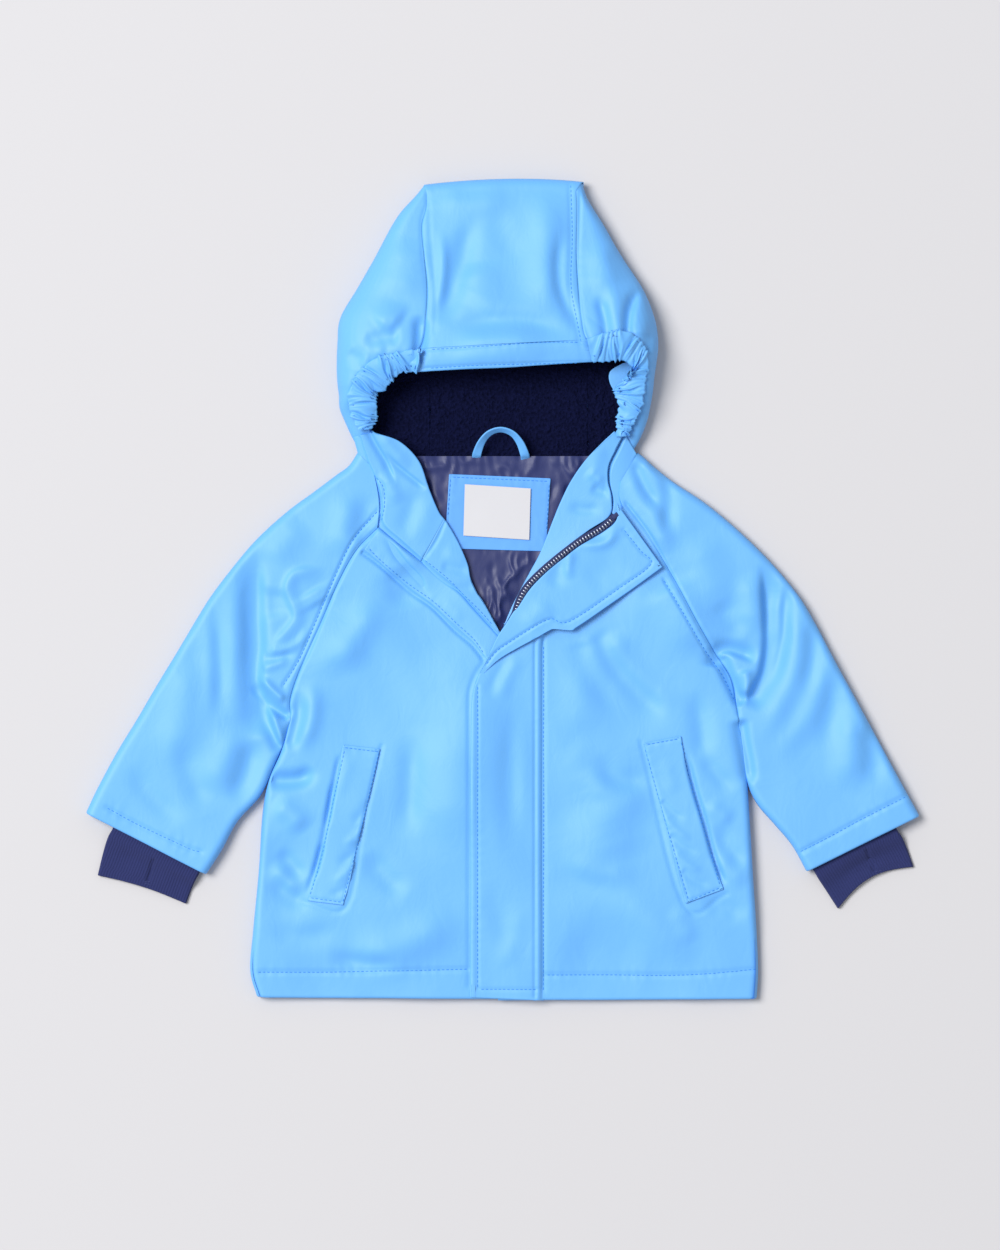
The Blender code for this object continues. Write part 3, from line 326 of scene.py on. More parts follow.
HOOD_FOLDS = (
    (-3.6, 7.7, (-15, 266, -24, 246, -29, 226, -34, 211, -38, 198, -43, 184), 0, 1, 0.6),
    (2.2, 3.7, (-43, 254, -41, 232, -42, 210, -46, 191)),
    (-1.2, 9, (-7, 270, 1, 249, 11, 225)),
    (4.1, 12.1, (24, 281, 31, 257, 31, 231, 33, 211, 41, 194), 0, 1, 0.8),
    (-2.7, 4.4, (42, 256, 39, 232, 40, 212, 46, 197, 55, 179), 0, 1, 0.6),
    (-3.2, 6.6, (-43, 182, -15, 187, 13, 188, 34, 183, 50, 173)),
    (2.7, 6.6, (-36, 172, -1, 175, 34, 174)),
    (2.7, 15.4, (-18, 231, -15, 211, -22, 196)),
    (1.9, 8.8, (-50, 277, -22, 271, 7, 275)),
    (-6.1, 4.4, (-57, 194, -57, 177, -58, 161), 0, 1, 0.3),
    (3, 14.3, (-63, 249, -66, 222, -73, 200)),
    (3.5, 8.8, (-87, 183, -78, 190, -69, 186)),
    (-2.7, 5.5, (-98, 177, -90, 175, -80, 177, -70, 176), 0, 1, 0.6),
    (-2.2, 5.5, (-108, 168, -101, 163, -94, 161)),
    (1.6, 6.6, (-106, 154, -108, 138, -105, 126)),
    (-3.6, 3.6, (67, 207, 71, 191, 74, 176), 0, 1, 0.2),
    (2, 6, (77, 215, 79, 196, 82, 179), 0, 1, 0.3),
    (-5.4, 3.4, (97, 214, 90, 198, 88, 186, 88, 173), 0.3, 1, 0.2),
    (2.4, 7, (102, 212, 99, 193, 97, 177), 0, 1, 0.3),
    (-3, 4, (108, 191, 104, 177, 98, 166), 0, 1, 0.3),
    (2.7, 11, (67, 246, 71, 222, 66, 204)),
    (-2.7, 13.2, (84, 246, 91, 224, 97, 210)),
)
COLLAR_FOLDS = (
    (-2.6, 2.2, (-94, 114, -88, 103, -80, 89, -74, 74), 0.6, 0.2),
    (-2.1, 2, (-83, 98, -73, 88, -62, 79, -52, 71), 0.6, 1, 0.6),
    (1.8, 5, (-88, 114, -77, 99, -63, 85)),
    (1.6, 5, (-83, 85, -77, 71, -71, 60)),
    (-1.3, 6, (-59, 75, -64, 56, -71, 35)),
    (1.1, 8, (-49, 67, -55, 49, -63, 30)),
    (-0.9, 3.6, (-43, 18, -34, 16, -21, 13), 0, 0.6),
    (0.8, 5, (-43, 28, -32, 25, -22, 21)),
    (-0.8, 3.6, (-36, 0, -27, 2, -18, 3)),
    (-1.7, 4, (62, 74, 69, 70, 76, 70)),
    (1.6, 4, (59, 85, 66, 79, 73, 78)),
    (-1.4, 4, (45, 60, 57, 57, 71, 58)),
    (1.3, 6, (69, 106, 66, 91, 62, 78)),
)
PLACKET_FOLDS = (
    (-2.3, 2.4, (-86, 40, -78, 34, -72, 25, -66, 18, -57, 8, -54, 1, -50, -5), 0.5),
    (1.3, 3.4, (-80, 40, -70, 30, -63, 22, -55, 12)),
    (0.5, 4, (-43, -3, -35, -12, -25, -21)),
)
FLAP_FOLDS = (
    (2.1, 3.8, (80, 50, 77, 39, 69, 33, 49, 33)),
    (-1.8, 6, (71, 47, 62, 39, 52, 38)),
    (1.7, 3.4, (46, 32, 47, 23, 46, 15, 48, 7)),
    (-1.5, 6, (41, 25, 39, 12, 34, 1)),
    (1.4, 7.2, (34, -6, 27, -14, 13, -26)),
    (-1, 10.8, (83, 25, 71, 14, 57, 5)),
    (-0.6, 6, (7, -69, 6, -118, 8, -174)),
    (0.7, 7.2, (-4, -76, -6, -146, -1, -202)),
    (0.6, 6, (17, -76, 15, -132, 14, -181)),
    (1.1, 5, (13, -42, 4, -59, -3, -79)),
    (-0.9, 4, (7, -44, -3, -58, -11, -76)),
    (-1, 8.4, (-10, -202, -1, -230, 7, -258)),
    (1, 7.2, (13, -216, 8, -244, -1, -265)),
)
POCKET_FOLDS = (
    (-0.9, 3, (-91, -146, -99, -157, -106, -163), 0.3, 0.3),
    (0.8, 3, (-94, -161, -102, -171, -112, -178), 0, 0.3),
    (-0.9, 3, (-98, -175, -106, -185, -116, -192), 0.3, 0.3),
    (0.8, 3, (-101, -189, -111, -198, -119, -205), 0, 0.3),
    (-0.8, 3, (-104, -202, -112, -209, -122, -212), 0, 0.3),
    (0.7, 5, (-105, -111, -111, -132, -115, -146)),
    (-0.9, 3, (111, -146, 119, -154, 129, -160), 0.3, 0.3),
    (0.8, 3, (113, -157, 122, -167, 133, -174), 0, 0.3),
    (-0.9, 3, (116, -170, 126, -178, 139, -184), 0.3, 0.3),
    (0.8, 3, (120, -182, 130, -191, 141, -196), 0, 0.3),
    (-0.9, 3, (125, -195, 134, -202, 147, -206), 0, 0.3),
    (0.7, 5, (113, -115, 118, -132, 122, -143)),
)
BRIM_FOLDS = (
    (0.6, 6, (-43, 161, -15, 163, 13, 164)),
    (-0.5, 5, (20, 161, 41, 165, 58, 166)),
)
CUFF_FOLDS = (
    (1, 7, (-269, -189, -246, -196, -224, -206)),
    (-0.8, 6, (-273, -181, -253, -189, -232, -199)),
    (1, 7, (272, -181, 260, -196, 237, -209)),
    (-0.8, 6, (276, -175, 258, -187, 235, -196)),
)
# Seams.  Each row: depth, half width, height of the puckers, then the line as x, y, x, y
FRONT_SEAMS = (
    (1.2, 1.4, 0.22, (-87, 44, -101, 30, -113, 9, -124, -16, -134, -40, -143, -59, -148, -76,
        -148, -87)),
    (1.2, 1.4, 0.22, (87, 61, 104, 38, 120, 9, 136, -21, 149, -43, 160, -62, 165, -86)),
    (2.2, 1.3, 0, (-97, 27, -85, 18, -66, 1, -49, -11, -33, -27, -21, -37, -13, -47)),
    (1, 1.3, 0.25, (-169, -266, -160, -266, -119, -266, -71, -265, -24, -264)),
    (1, 1.3, 0.25, (31, -268, 71, -268, 129, -268, 179, -264)),
    (0.9, 1.1, 0, (29, -31, 29, -118, 29, -216, 29, -279)),
    (0.9, 1.3, 0, (-13, -50, -18, -57, -22, -67, -23, -77, -23, -118, -23, -202, -23, -276)),
    (0.9, 1.3, 0.1, (-84, -108, -97, -164, -109, -221, -139, -217)),
    (0.9, 1.3, 0.1, (97, -105, 127, -219, 157, -211)),
)
ARM_SEAMS = (
    (1.1, 1.1, 0.15, (-87, 56, -104, 36, -116, 12, -130, -21, -142, -48, -153, -66)),
    (1.1, 1.1, 0.15, (113, 8, 127, -16, 141, -40, 154, -59, 162, -76)),
    (1.1, 1.3, 0.3, (-276, -151, -262, -159, -248, -166, -220, -179, -210, -182)),
    (1.1, 1.3, 0.3, (207, -183, 235, -168, 257, -156, 286, -141)),
)
# Gathers that run out of a drawn-in edge.  Each row: height, pitch, reach, phase, line
HOOD_GATHERS = (
    (1.5, 8.5, 9, 0.4, (-105, 140, -103, 151, -95, 161, -84, 167, -74, 170, -57, 168)),
    (1.5, 8.5, 9, 1.7, (62, 174, 73, 180, 84, 180, 95, 175, 102, 163, 101, 145, 97, 131)),
)
CUFF_SLITS = (
    (2.2, 0.9, 0, (-244, -188, -246, -196, -248, -202)),
    (2.2, 0.9, 0, (255, -181, 258, -189, 260, -195)),
)
HOOD_SEAMS = (
    (0.6, 1.6, 0.2, (-56, 287, -54, 281, -52, 273, -56, 257, -55, 235, -52, 212, -52, 190,
        -56, 170)),
    (0.6, 1.6, 0.2, (55, 287, 54, 260, 53, 229, 54, 208, 57, 187, 62, 172)),
    (0.6, 1.2, 0.12, (47, 287, 48, 247, 47, 214, 51, 189, 54, 172)),
    (0.5, 1.1, 0.1, (-51, 271, -50, 247, -48, 225, -46, 208, -47, 180)),
)
BRIM_SEAMS = (
    (0.8, 1.1, 0.2, (-52, 168, -48, 168, -15, 170, 29, 173, 53, 173, 62, 171)),
    (0.8, 1.1, 0.25, (-56, 154, -50, 155, -15, 157, 23, 158, 59, 159, 66, 159)),
)
COLLAR_SEAMS = (
    (0.7, 1.1, 0.15, (-92, 82, -83, 74, -83, 61, -85, 49)),
    (0.9, 1.2, 0.15, (-56, 21, -46, 35, -39, 51)),
)
FLAP_SEAMS = (
    (0.7, 1.1, 0.12, (85, 43, 97, 28, 104, 19, 83, 3, 47, -21, 34, -19, 20, -26, 6, -35, -4, -42,
        -11, -51)),
    (0.6, 1.1, 0.12, (-17, -66, -17, -82, -17, -146, -17, -277)),
    (0.5, 1.1, 0.12, (-21, -278, -1, -278, 29, -278)),
    (0.9, 1.1, 0.05, (23, -34, 23, -118, 23, -202, 23, -283)),
)
PLACKET_SEAMS = (
    (0.4, 0.9, 0.12, (-93, 30, -84, 21, -65, 5, -48, -7, -31, -23, -20, -33, -13, -43)),
)
PATCH_SEAMS = (
    (0.4, 0.9, 0.2, (-35, 80, 32, 77)),
    (0.4, 0.9, 0.2, (-36, 79, -39, 32)),
    (0.4, 0.9, 0.2, (33, 75, 31, 30)),
)
POCKET_SEAMS = (
    (0.4, 0.9, 0.15, (-110, -110, -86, -112)),
    (0.4, 0.9, 0.15, (-87, -114, -98, -164, -111, -217)),
    (0.4, 0.9, 0.15, (-134, -214, -112, -217)),
    (0.4, 0.9, 0.15, (101, -107, 123, -103)),
    (0.4, 0.9, 0.15, (100, -110, 115, -164, 130, -215)),
    (0.4, 0.9, 0.15, (131, -216, 153, -207)),
)
# Swells of a panel's face.  Columns: turn in x, turn in y, phase, share of the height
WAVES = (
    (0.061, 0.027, 0.3, 0.42), (-0.034, 0.071, 1.9, 0.34), (0.103, -0.052, 4.1, 0.24),
    (0.052, 0.127, 2.7, 0.17), (-0.158, -0.084, 5.2, 0.11), (0.209, 0.073, 0.9, 0.07))
# Rings of a stitch.  Columns: share of its length, share of its radius, rise
STITCH_RINGS = ((-0.5, 0.25, -0.25), (-0.38, 0.85, 0.0), (0.0, 1.0, 0.12), (0.38, 0.85, 0.0),
                (0.5, 0.25, -0.25))
BLOCK_SUNK = 0.3        # depth of a tooth's foot in the tape
BLOCK_TOP = 0.68        # size of a tooth's top, as a share of its foot's
# Surface of the finishes, in millimetres
RIB_DEPTH = 0.25
MOTTLE_SIZE = 40.0
CRUMPLE_SIZE = 16.0
CRUMPLE_STRETCH = (1.0, 0.6, 1.0)
FINE_MOTTLE = 0.1       # above this share the colour varies with the fine surface


class Side(Enum):
    """Edge of a grid of points: which axis it ends, and whether it is that axis's last."""

    FIRST_ROW = (0, False)
    LAST_ROW = (0, True)
    FIRST_COLUMN = (1, False)
    LAST_COLUMN = (1, True)

    def counted(self, points: Array) -> Array:
        """Rows of a grid's points, counted from this edge inwards."""
        rows = np.moveaxis(points, self.value[0], 0)
        return rows[::-1] if self.value[1] else rows

    def restored(self, rows: Array) -> Array:
        """The grid whose rows were counted from this edge."""
        return np.moveaxis(rows[::-1] if self.value[1] else rows, 0, self.value[0])


class Edge(Enum):
    """How a band's edge ends: rolled into a hem, or run on under its neighbour."""

    HEMMED = "hemmed"
    UNDER = "under"


class Held(Enum):
    """How a sheet is held where it lies."""

    LAID = "laid"
    GATHERED = "gathered"
    FOLDED = "folded"


@dataclass(frozen=True)
class Look:
    """One kind of cloth or metal: its display colour and how it takes light.

    grain and bump are the size and depth of its fine surface, ribs is the pitch of its ribs and
    crumple the depth of its coarse unevenness, in millimetres.  mottle is how far its colour
    varies.
    """

    slot: str
    colour: Row
    roughness: float
    grain: float
    bump: float
    mottle: float = 0.03
    sheen: float = 0.0
    gloss: float = 0.5
    metallic: float = 0.0
    ribs: float = 0.0
    crumple: float = 0.0


class Finish(Enum):
    """The coat's finishes."""

    SHELL = Look("shell_blue", (99, 174, 241), 0.58, 1.3, 0.02, 0.01, gloss=0.7, crumple=0.45)
    # Painted shade: the neck patch is the shell's blue, painted darker for the shade it lies in
    # inside the neck opening.
    PATCH = Look("shell_blue", (96, 164, 240), 0.7, 0.8, 0.01, 0.01)
    SEAM_THREAD = Look("shell_blue", (40, 132, 218), 0.7, 0.5, 0.0, 0.0)
    FLEECE = Look("fleece_navy", (14, 18, 49), 1.0, 2.2, 3.0, 0.9, gloss=0.05)
    TAFFETA = Look("taffeta_navy", (41, 50, 100), 0.45, 0.5, 0.0, 0.03, gloss=0.4, crumple=0.4)
    RIB = Look("rib_navy", (42, 49, 96), 0.9, 0.9, 0.1, 0.2, sheen=0.1, gloss=0.2, ribs=1.9)
    RIB_THREAD = Look("rib_navy", (60, 68, 120), 0.8, 0.5, 0.0, 0.0)
    LABEL = Look("label_white", (204, 204, 208), 0.75, 0.35, 0.03, 0.02)
    TAPE = Look("zip_tape", (40, 50, 96), 0.8, 0.7, 0.08, 0.15)
    TEETH = Look("zip_tape", (150, 156, 172), 0.35, 0.5, 0.0, 0.0, metallic=0.9)


@dataclass(frozen=True)
class Cut:
    """How a piece was cut flat, in metres, what it rests on, how it is held and what it carries."""

    width: float
    length: float
    area: float
    rests_on: tuple[str, ...]
    held: Held = Held.LAID
    with_pieces: tuple[str, ...] = ()


# Stitches.  Each group: the pieces it lies on, its lines, and its thread
STITCH_LINES = {
    "stitches_raglan": (("sleeve_right", "sleeve_left", "front_right", "front_left"), (
        ARM_SEAMS[0][-1], ARM_SEAMS[1][-1]),
        Finish.SEAM_THREAD),
    "stitches_hem": (("front_right", "front_left", "sleeve_right", "sleeve_left"), (
        (-171, -266, -160, -266, -119, -266, -71, -265, -24, -264),
        (31, -268, 71, -268, 129, -268, 178, -264),
        (-276, -151, -262, -159, -248, -166, -220, -179, -211, -182),
        (208, -182, 235, -168, 257, -156, 285, -142)),
        Finish.SEAM_THREAD),
    "stitches_hood": (("hood_side_right", "hood_side_left", "hood_centre", "hood_brim"), (
        (48, 284, 49, 247, 48, 214, 52, 189, 55, 173),
        (-49, 168, -15, 170, 29, 173, 53, 173),
        (-50, 155, -15, 157, 23, 158, 59, 159)),
        Finish.SEAM_THREAD),
    "stitches_flap": (("storm_flap_closed", "storm_flap_turned", "placket", "front_left"), (
        FLAP_SEAMS[0][-1], FLAP_SEAMS[1][-1], (-15, -278, -1, -278, 24, -278),
        PLACKET_SEAMS[0][-1],
        (29, -38, 29, -146, 29, -279)),
        Finish.SEAM_THREAD),
    "stitches_neck": (("collar_right", "facing_right", "facing_left", "neck_patch"), (
        (-90, 82, -83, 73, -82, 61, -84, 49),
        (-54, 22, -38, 9, -24, -5, -15, -14, -7, -23),
        PATCH_SEAMS[0][-1],
        (-36, 79, -38, 53),
        (33, 75, 31, 43),
        (-24, 29, 24, 28)),
        Finish.SEAM_THREAD),
    "stitches_pocket": (("pocket_right", "pocket_left", "front_right", "front_left"), (
        (-110, -109, -86, -112),
        (-86, -112, -98, -164, -111, -217),
        POCKET_SEAMS[2][-1],
        (-110, -111, -118, -148, -126, -186, -134, -212),
        POCKET_SEAMS[3][-1],
        (125, -105, 132, -136, 138, -157, 152, -205),
        POCKET_SEAMS[4][-1],
        (131, -216, 152, -207)),
        Finish.SEAM_THREAD),
    "bartacks": (("cuff_right", "cuff_left"), (
        (-250, -203, -246, -203),
        (-250, -204, -246, -205),
        (261, -196, 266, -195),
        (261, -198, 267, -196)),
        Finish.RIB_THREAD),
}


def smooth(table: Table, steps: int = STEPS) -> Array:
    """Points on a smooth curve through a table's rows, each stretch in equal steps.

    Args:
        table: rows of numbers, one row for each place the curve goes through.
        steps: points for each stretch between two rows.

    Returns:
        The rows of the curve, its last one the table's last.
    """
    rows = np.array(table, float)
    ends = np.vstack([2 * rows[0] - rows[1], rows, 2 * rows[-1] - rows[-2]])
    p0, p1, p2, p3 = (ends[k:k + len(rows) - 1, None] for k in range(4))
    t = (np.arange(steps) / steps)[None, :, None]
    curve = 0.5 * (2 * p1 + (p2 - p0) * t + (2 * p0 - 5 * p1 + 4 * p2 - p3) * t * t
                   + (3 * p1 - p0 - 3 * p2 + p3) * t ** 3)
    return np.vstack([curve.reshape(-1, rows.shape[1]), rows[-1:]])


def chained(*tables: Table) -> Array:
    """Smooth curves through several tables, one after the other, each joint taken once."""
    first, *others = (smooth(table) for table in tables)
    return np.vstack([first, *(curve[1:] for curve in others)])


def distances(points: Array) -> Array:
    """How far along a line each of its points is."""
    return np.concatenate([[0], np.cumsum(np.linalg.norm(np.diff(points, axis=0), axis=1))])


def length_of(points: Array) -> float:
    """Length of a line of points."""
    return float(np.linalg.norm(np.diff(points, axis=0), axis=1).sum())


def points_for(length: float, spacing: float) -> int:
    """How many points stand about a spacing apart on a length."""
    return 1 + round(length / spacing)


def spread(rows: Array, count: int, measured: int | None = None) -> Array:
    """Rows of a curve, or of several matched ones, spread evenly along their length.

    Args:
        rows: the rows to spread.
        count: rows wanted.
        measured: how many of the first columns count as length, or None for all.

    Returns:
        The even rows.
    """
    along = distances(rows[:, :measured])
    at = np.linspace(0, along[-1], count)
    return np.column_stack([np.interp(at, along, column) for column in rows.T])


def matched_rows(table: Table, spacing: float, edge: int = 2) -> Array:
    """Even rows through a table of matched edges, about a spacing apart on the longest edge.

    Args:
        table: rows whose columns are the edges' coordinates, then any others.
        spacing: distance between rows, in millimetres.
        edge: how many columns an edge has.

    Returns:
        The rows.
    """
    rows = smooth(table)
    longest = max(length_of(rows[:, :edge]), length_of(rows[:, edge:2 * edge]))
    return spread(rows, points_for(longest, spacing), 2 * edge)


def strip(table: Table, spacing: float, edge: int = 3) -> Array:
    """Grid between two edges, given as a table's first and next columns.

    Args:
        table: rows of the two edges' coordinates.
        spacing: distance between points, in millimetres.
        edge: how many columns an edge has.

    Returns:
        Grid of points.
    """
    rows = matched_rows(table, spacing, edge)
    near, far = rows[:, :edge], rows[:, edge:2 * edge]
    count = 1 + max(4, round(np.linalg.norm(far - near, axis=1).max() / spacing))
    share = np.linspace(0, 1, count)[None, :, None]
    return near[:, None] * (1 - share) + far[:, None] * share


def flat_strip(table: Table, spacing: float) -> Array:
    """Grid between two edges given in plan, with a height of 0."""
    grid = strip(table, spacing, 2)
    return np.concatenate([grid, np.zeros((*grid.shape[:2], 1))], axis=2)


def quad(corners: Table, spacing: float) -> Array:
    """Grid over four corners in plan, in turn round it, with a height of 0."""
    a, b, c, d = corners
    return flat_strip(((*a, *b), (*d, *c)), spacing)


def ease(share: Array | float) -> Array:
    """Smooth step from 0 to 1."""
    held = np.clip(share, 0, 1)
    return held * held * (3 - 2 * held)


def unit(vectors: Array) -> Array:
    """Vectors with a length of 1."""
    return vectors / np.maximum(np.linalg.norm(vectors, axis=-1, keepdims=True), 1e-9)


def hem_fall(grid: Array) -> Array:
    """How far the cloth falls at each point, towards the hem of the coat."""
    return HEM_DROP * (1 - ease((grid[..., 1] - HEM_LINE) / HEM_RISE))


def noise_at(points: Array, size: float, seed: float) -> Array:
    """Soft noise at each point of a grid.

    Args:
        points: the grid.
        size: of the noise's lumps, in millimetres.
        seed: shift that picks another stretch of it.

    Returns:
        Values of about -1 to 1.
    """
    flat = points.reshape(-1, 3) / size + seed
    found = np.array([noise.fractal(Vector(p), 0.6, 2.1, 3) for p in flat])
    return found.reshape(points.shape[:-1])


class Line:
    """A smooth line in plan, from a flat run of x, y, x, y."""

    def __init__(self, flat: Row) -> None:
        """Lay the line's points along the x, y, x, y of a flat run."""
        table = np.reshape(np.array(flat, float), (-1, 2))
        self.points = smooth(table, LINE_STEPS) if len(table) > 2 else table
        self.length = length_of(self.points)

    def near(self, xy: Array) -> tuple[Array, Array]:
        """Where points lie beside the line.

        Args:
            xy: points, one a row.

        Returns:
            Their signed distances, positive on the line's left, and the shares along it.
        """
        best = np.full(len(xy), np.inf)
        aside = np.zeros(len(xy))
        share = np.zeros(len(xy))
        done = 0.0
        for start, end in zip(self.points[:-1], self.points[1:]):
            run = end - start
            size = np.linalg.norm(run)
            off = xy - start
            t = np.clip(off @ run / size ** 2, 0, 1)
            gap = np.linalg.norm(off - t[:, None] * run, axis=1)
            turn = run[0] * off[:, 1] - run[1] * off[:, 0]
            closer = gap < best
            best[closer] = gap[closer]
            aside[closer] = np.where(turn[closer] < 0, -gap[closer], gap[closer])
            share[closer] = (done + t[closer] * size) / self.length
            done += size
        return aside, share

    def within(self, xy: Array, reach: float) -> Array:
        """Which points are inside the line's box, grown by a reach."""
        low, high = self.points.min(axis=0) - reach, self.points.max(axis=0) + reach
        return np.all((xy > low) & (xy < high), axis=1)


class Mark(ABC):
    """A mark that shapes the cloth beside a line."""

    line: Row

    @abstractmethod
    def reach(self) -> float:
        """How far from its line the mark is looked for."""

    @abstractmethod
    def profile(self, aside: Array, share: Array, length: float) -> Array:
        """Millimetres it adds at signed distances aside of a line and shares of its length."""

    def rise(self, xy: Array) -> Array:
        """Height it adds at places in plan.

        Args:
            xy: points, one a row.

        Returns:
            Heights in millimetres.
        """
        line = Line(self.line)
        added = np.zeros(len(xy))
        inside = line.within(xy, self.reach())
        if inside.any():
            added[inside] = self.profile(*line.near(xy[inside]), line.length)
        return added


@dataclass(frozen=True)
class Crease(Mark):
    """A soft or sharp fold: its height, half width, lean and how it fades at its ends."""

    height: float
    half_width: float
    line: Row
    lean: float = 0.0
    fade_in: float = 1.0
    fade_out: float = 1.0
    most_lean: float = 0.7
    longest_fade: float = 0.35

    def reach(self) -> float:
        """Where the fold has died away."""
        return 3.2 * self.half_width

    def profile(self, aside: Array, share: Array, length: float) -> Array:
        """A bell across the line, steeper on the side that it leans from.

        Args:
            aside: signed distances from the line.
            share: shares along it.
            length: of the line.

        Returns:
            Heights in millimetres.
        """
        width = self.half_width * (1 - self.most_lean * self.lean * np.sign(aside))
        fade = ease(share / max(self.longest_fade * self.fade_in, 0.01))
        fade *= ease((1 - share) / max(self.longest_fade * self.fade_out, 0.01))
        return self.height * fade * np.exp(-(aside / width) ** 2)


@dataclass(frozen=True)
class Groove(Mark):
    """The dent that a seam makes, and the puckers of its stitches.

    The puckers spread over pucker_reach.  They follow each other at pace, stray from it, run
    askew and swell and die, all in turns per millimetre.
    """

    depth: float
    half_width: float
    pucker: float
    line: Row
    pucker_reach: float = 4.5
    pace: float = 0.83
    stray: float = 0.9
    stray_pace: float = 0.21
    skew: float = 0.06
    swell: Row = (0.35, 0.25)
    swell_pace: float = 0.117

    def reach(self) -> float:
        """Where the puckers have died away."""
        return self.pucker_reach * 2.5

    def profile(self, aside: Array, share: Array, length: float) -> Array:
        """A narrow dent with waves along it.

        Args:
            aside: signed distances from the line.
            share: shares along it.
            length: of the line.

        Returns:
            Heights in millimetres.
        """
        at = share * length
        dent = -self.depth * np.exp(-(aside / self.half_width) ** 2)
        wave = np.sin(at * self.pace + self.stray * np.sin(at * self.stray_pace)
                      + self.skew * aside)
        wave *= self.swell[0] + self.swell[1] * np.sin(at * self.swell_pace + 1.0)
        return dent + self.pucker * wave * np.exp(-(aside / self.pucker_reach) ** 2)


@dataclass(frozen=True)
class Gathers(Mark):
    """Small folds that run out of a drawn-in edge and die away from it.

    stray is how far they wander along and across it, in millimetres.
    """

    height: float
    pitch: float
    fade: float
    phase: float
    line: Row
    stray: Row = (2.4, 1.2)

    def reach(self) -> float:
        """Where the gathers have died away."""
        return 3 * self.fade

    def profile(self, aside: Array, share: Array, length: float) -> Array:
        """Uneven crests across the line.

        Args:
            aside: signed distances from the line.
            share: shares along it.
            length: of the line.

        Returns:
            Heights in millimetres.
        """
        at = share * length
        at = (at + self.stray[0] * np.sin(at * 0.19 + self.phase)
              + self.stray[1] * np.sin(aside * 0.3 + at * 0.4))
        crest = np.abs(np.sin(math.pi * at / self.pitch)) ** 0.8 - 0.6
        strong = 0.6 + 0.4 * np.sin(at * 0.33 + 3 * self.phase)
        ends = ease(share * 12) * ease((1 - share) * 12)
        return self.height * crest * strong * ends * np.exp(-np.abs(aside) / self.fade)


class Relief:
    """The folds, seams and gentle unevenness that shape a panel's face."""

    def __init__(self, folds: Table = (), seams: Table = (), unevenness: float = 0.3,
                 gathers: Table = ()) -> None:
        """Gather the marks.

        Args:
            folds: rows of a Crease's values.
            seams: rows of a Groove's values.
            unevenness: height of the swells, in millimetres.
            gathers: rows of a Gathers' values.
        """
        self.marks = [kind(*row) for kind, rows in
                      ((Crease, folds), (Groove, seams), (Gathers, gathers)) for row in rows]
        self.unevenness = unevenness

    def at(self, xy: Array) -> Array:
        """Height it adds in plan.

        Args:
            xy: points, as rows or as a grid of them.

        Returns:
            Heights in millimetres, in the same layout.
        """
        flat = xy.reshape(-1, 2)
        added = np.zeros(len(flat))
        for mark in self.marks:
            added += mark.rise(flat)
        for x_turn, y_turn, phase, share in WAVES:
            swell = np.sin(flat[:, 0] * x_turn + flat[:, 1] * y_turn + phase)
            added += self.unevenness * share * swell
        return added.reshape(xy.shape[:-1])


BODY_RELIEF = Relief(FRONT_FOLDS + ARM_FOLDS, FRONT_SEAMS + ARM_SEAMS, 0.9)


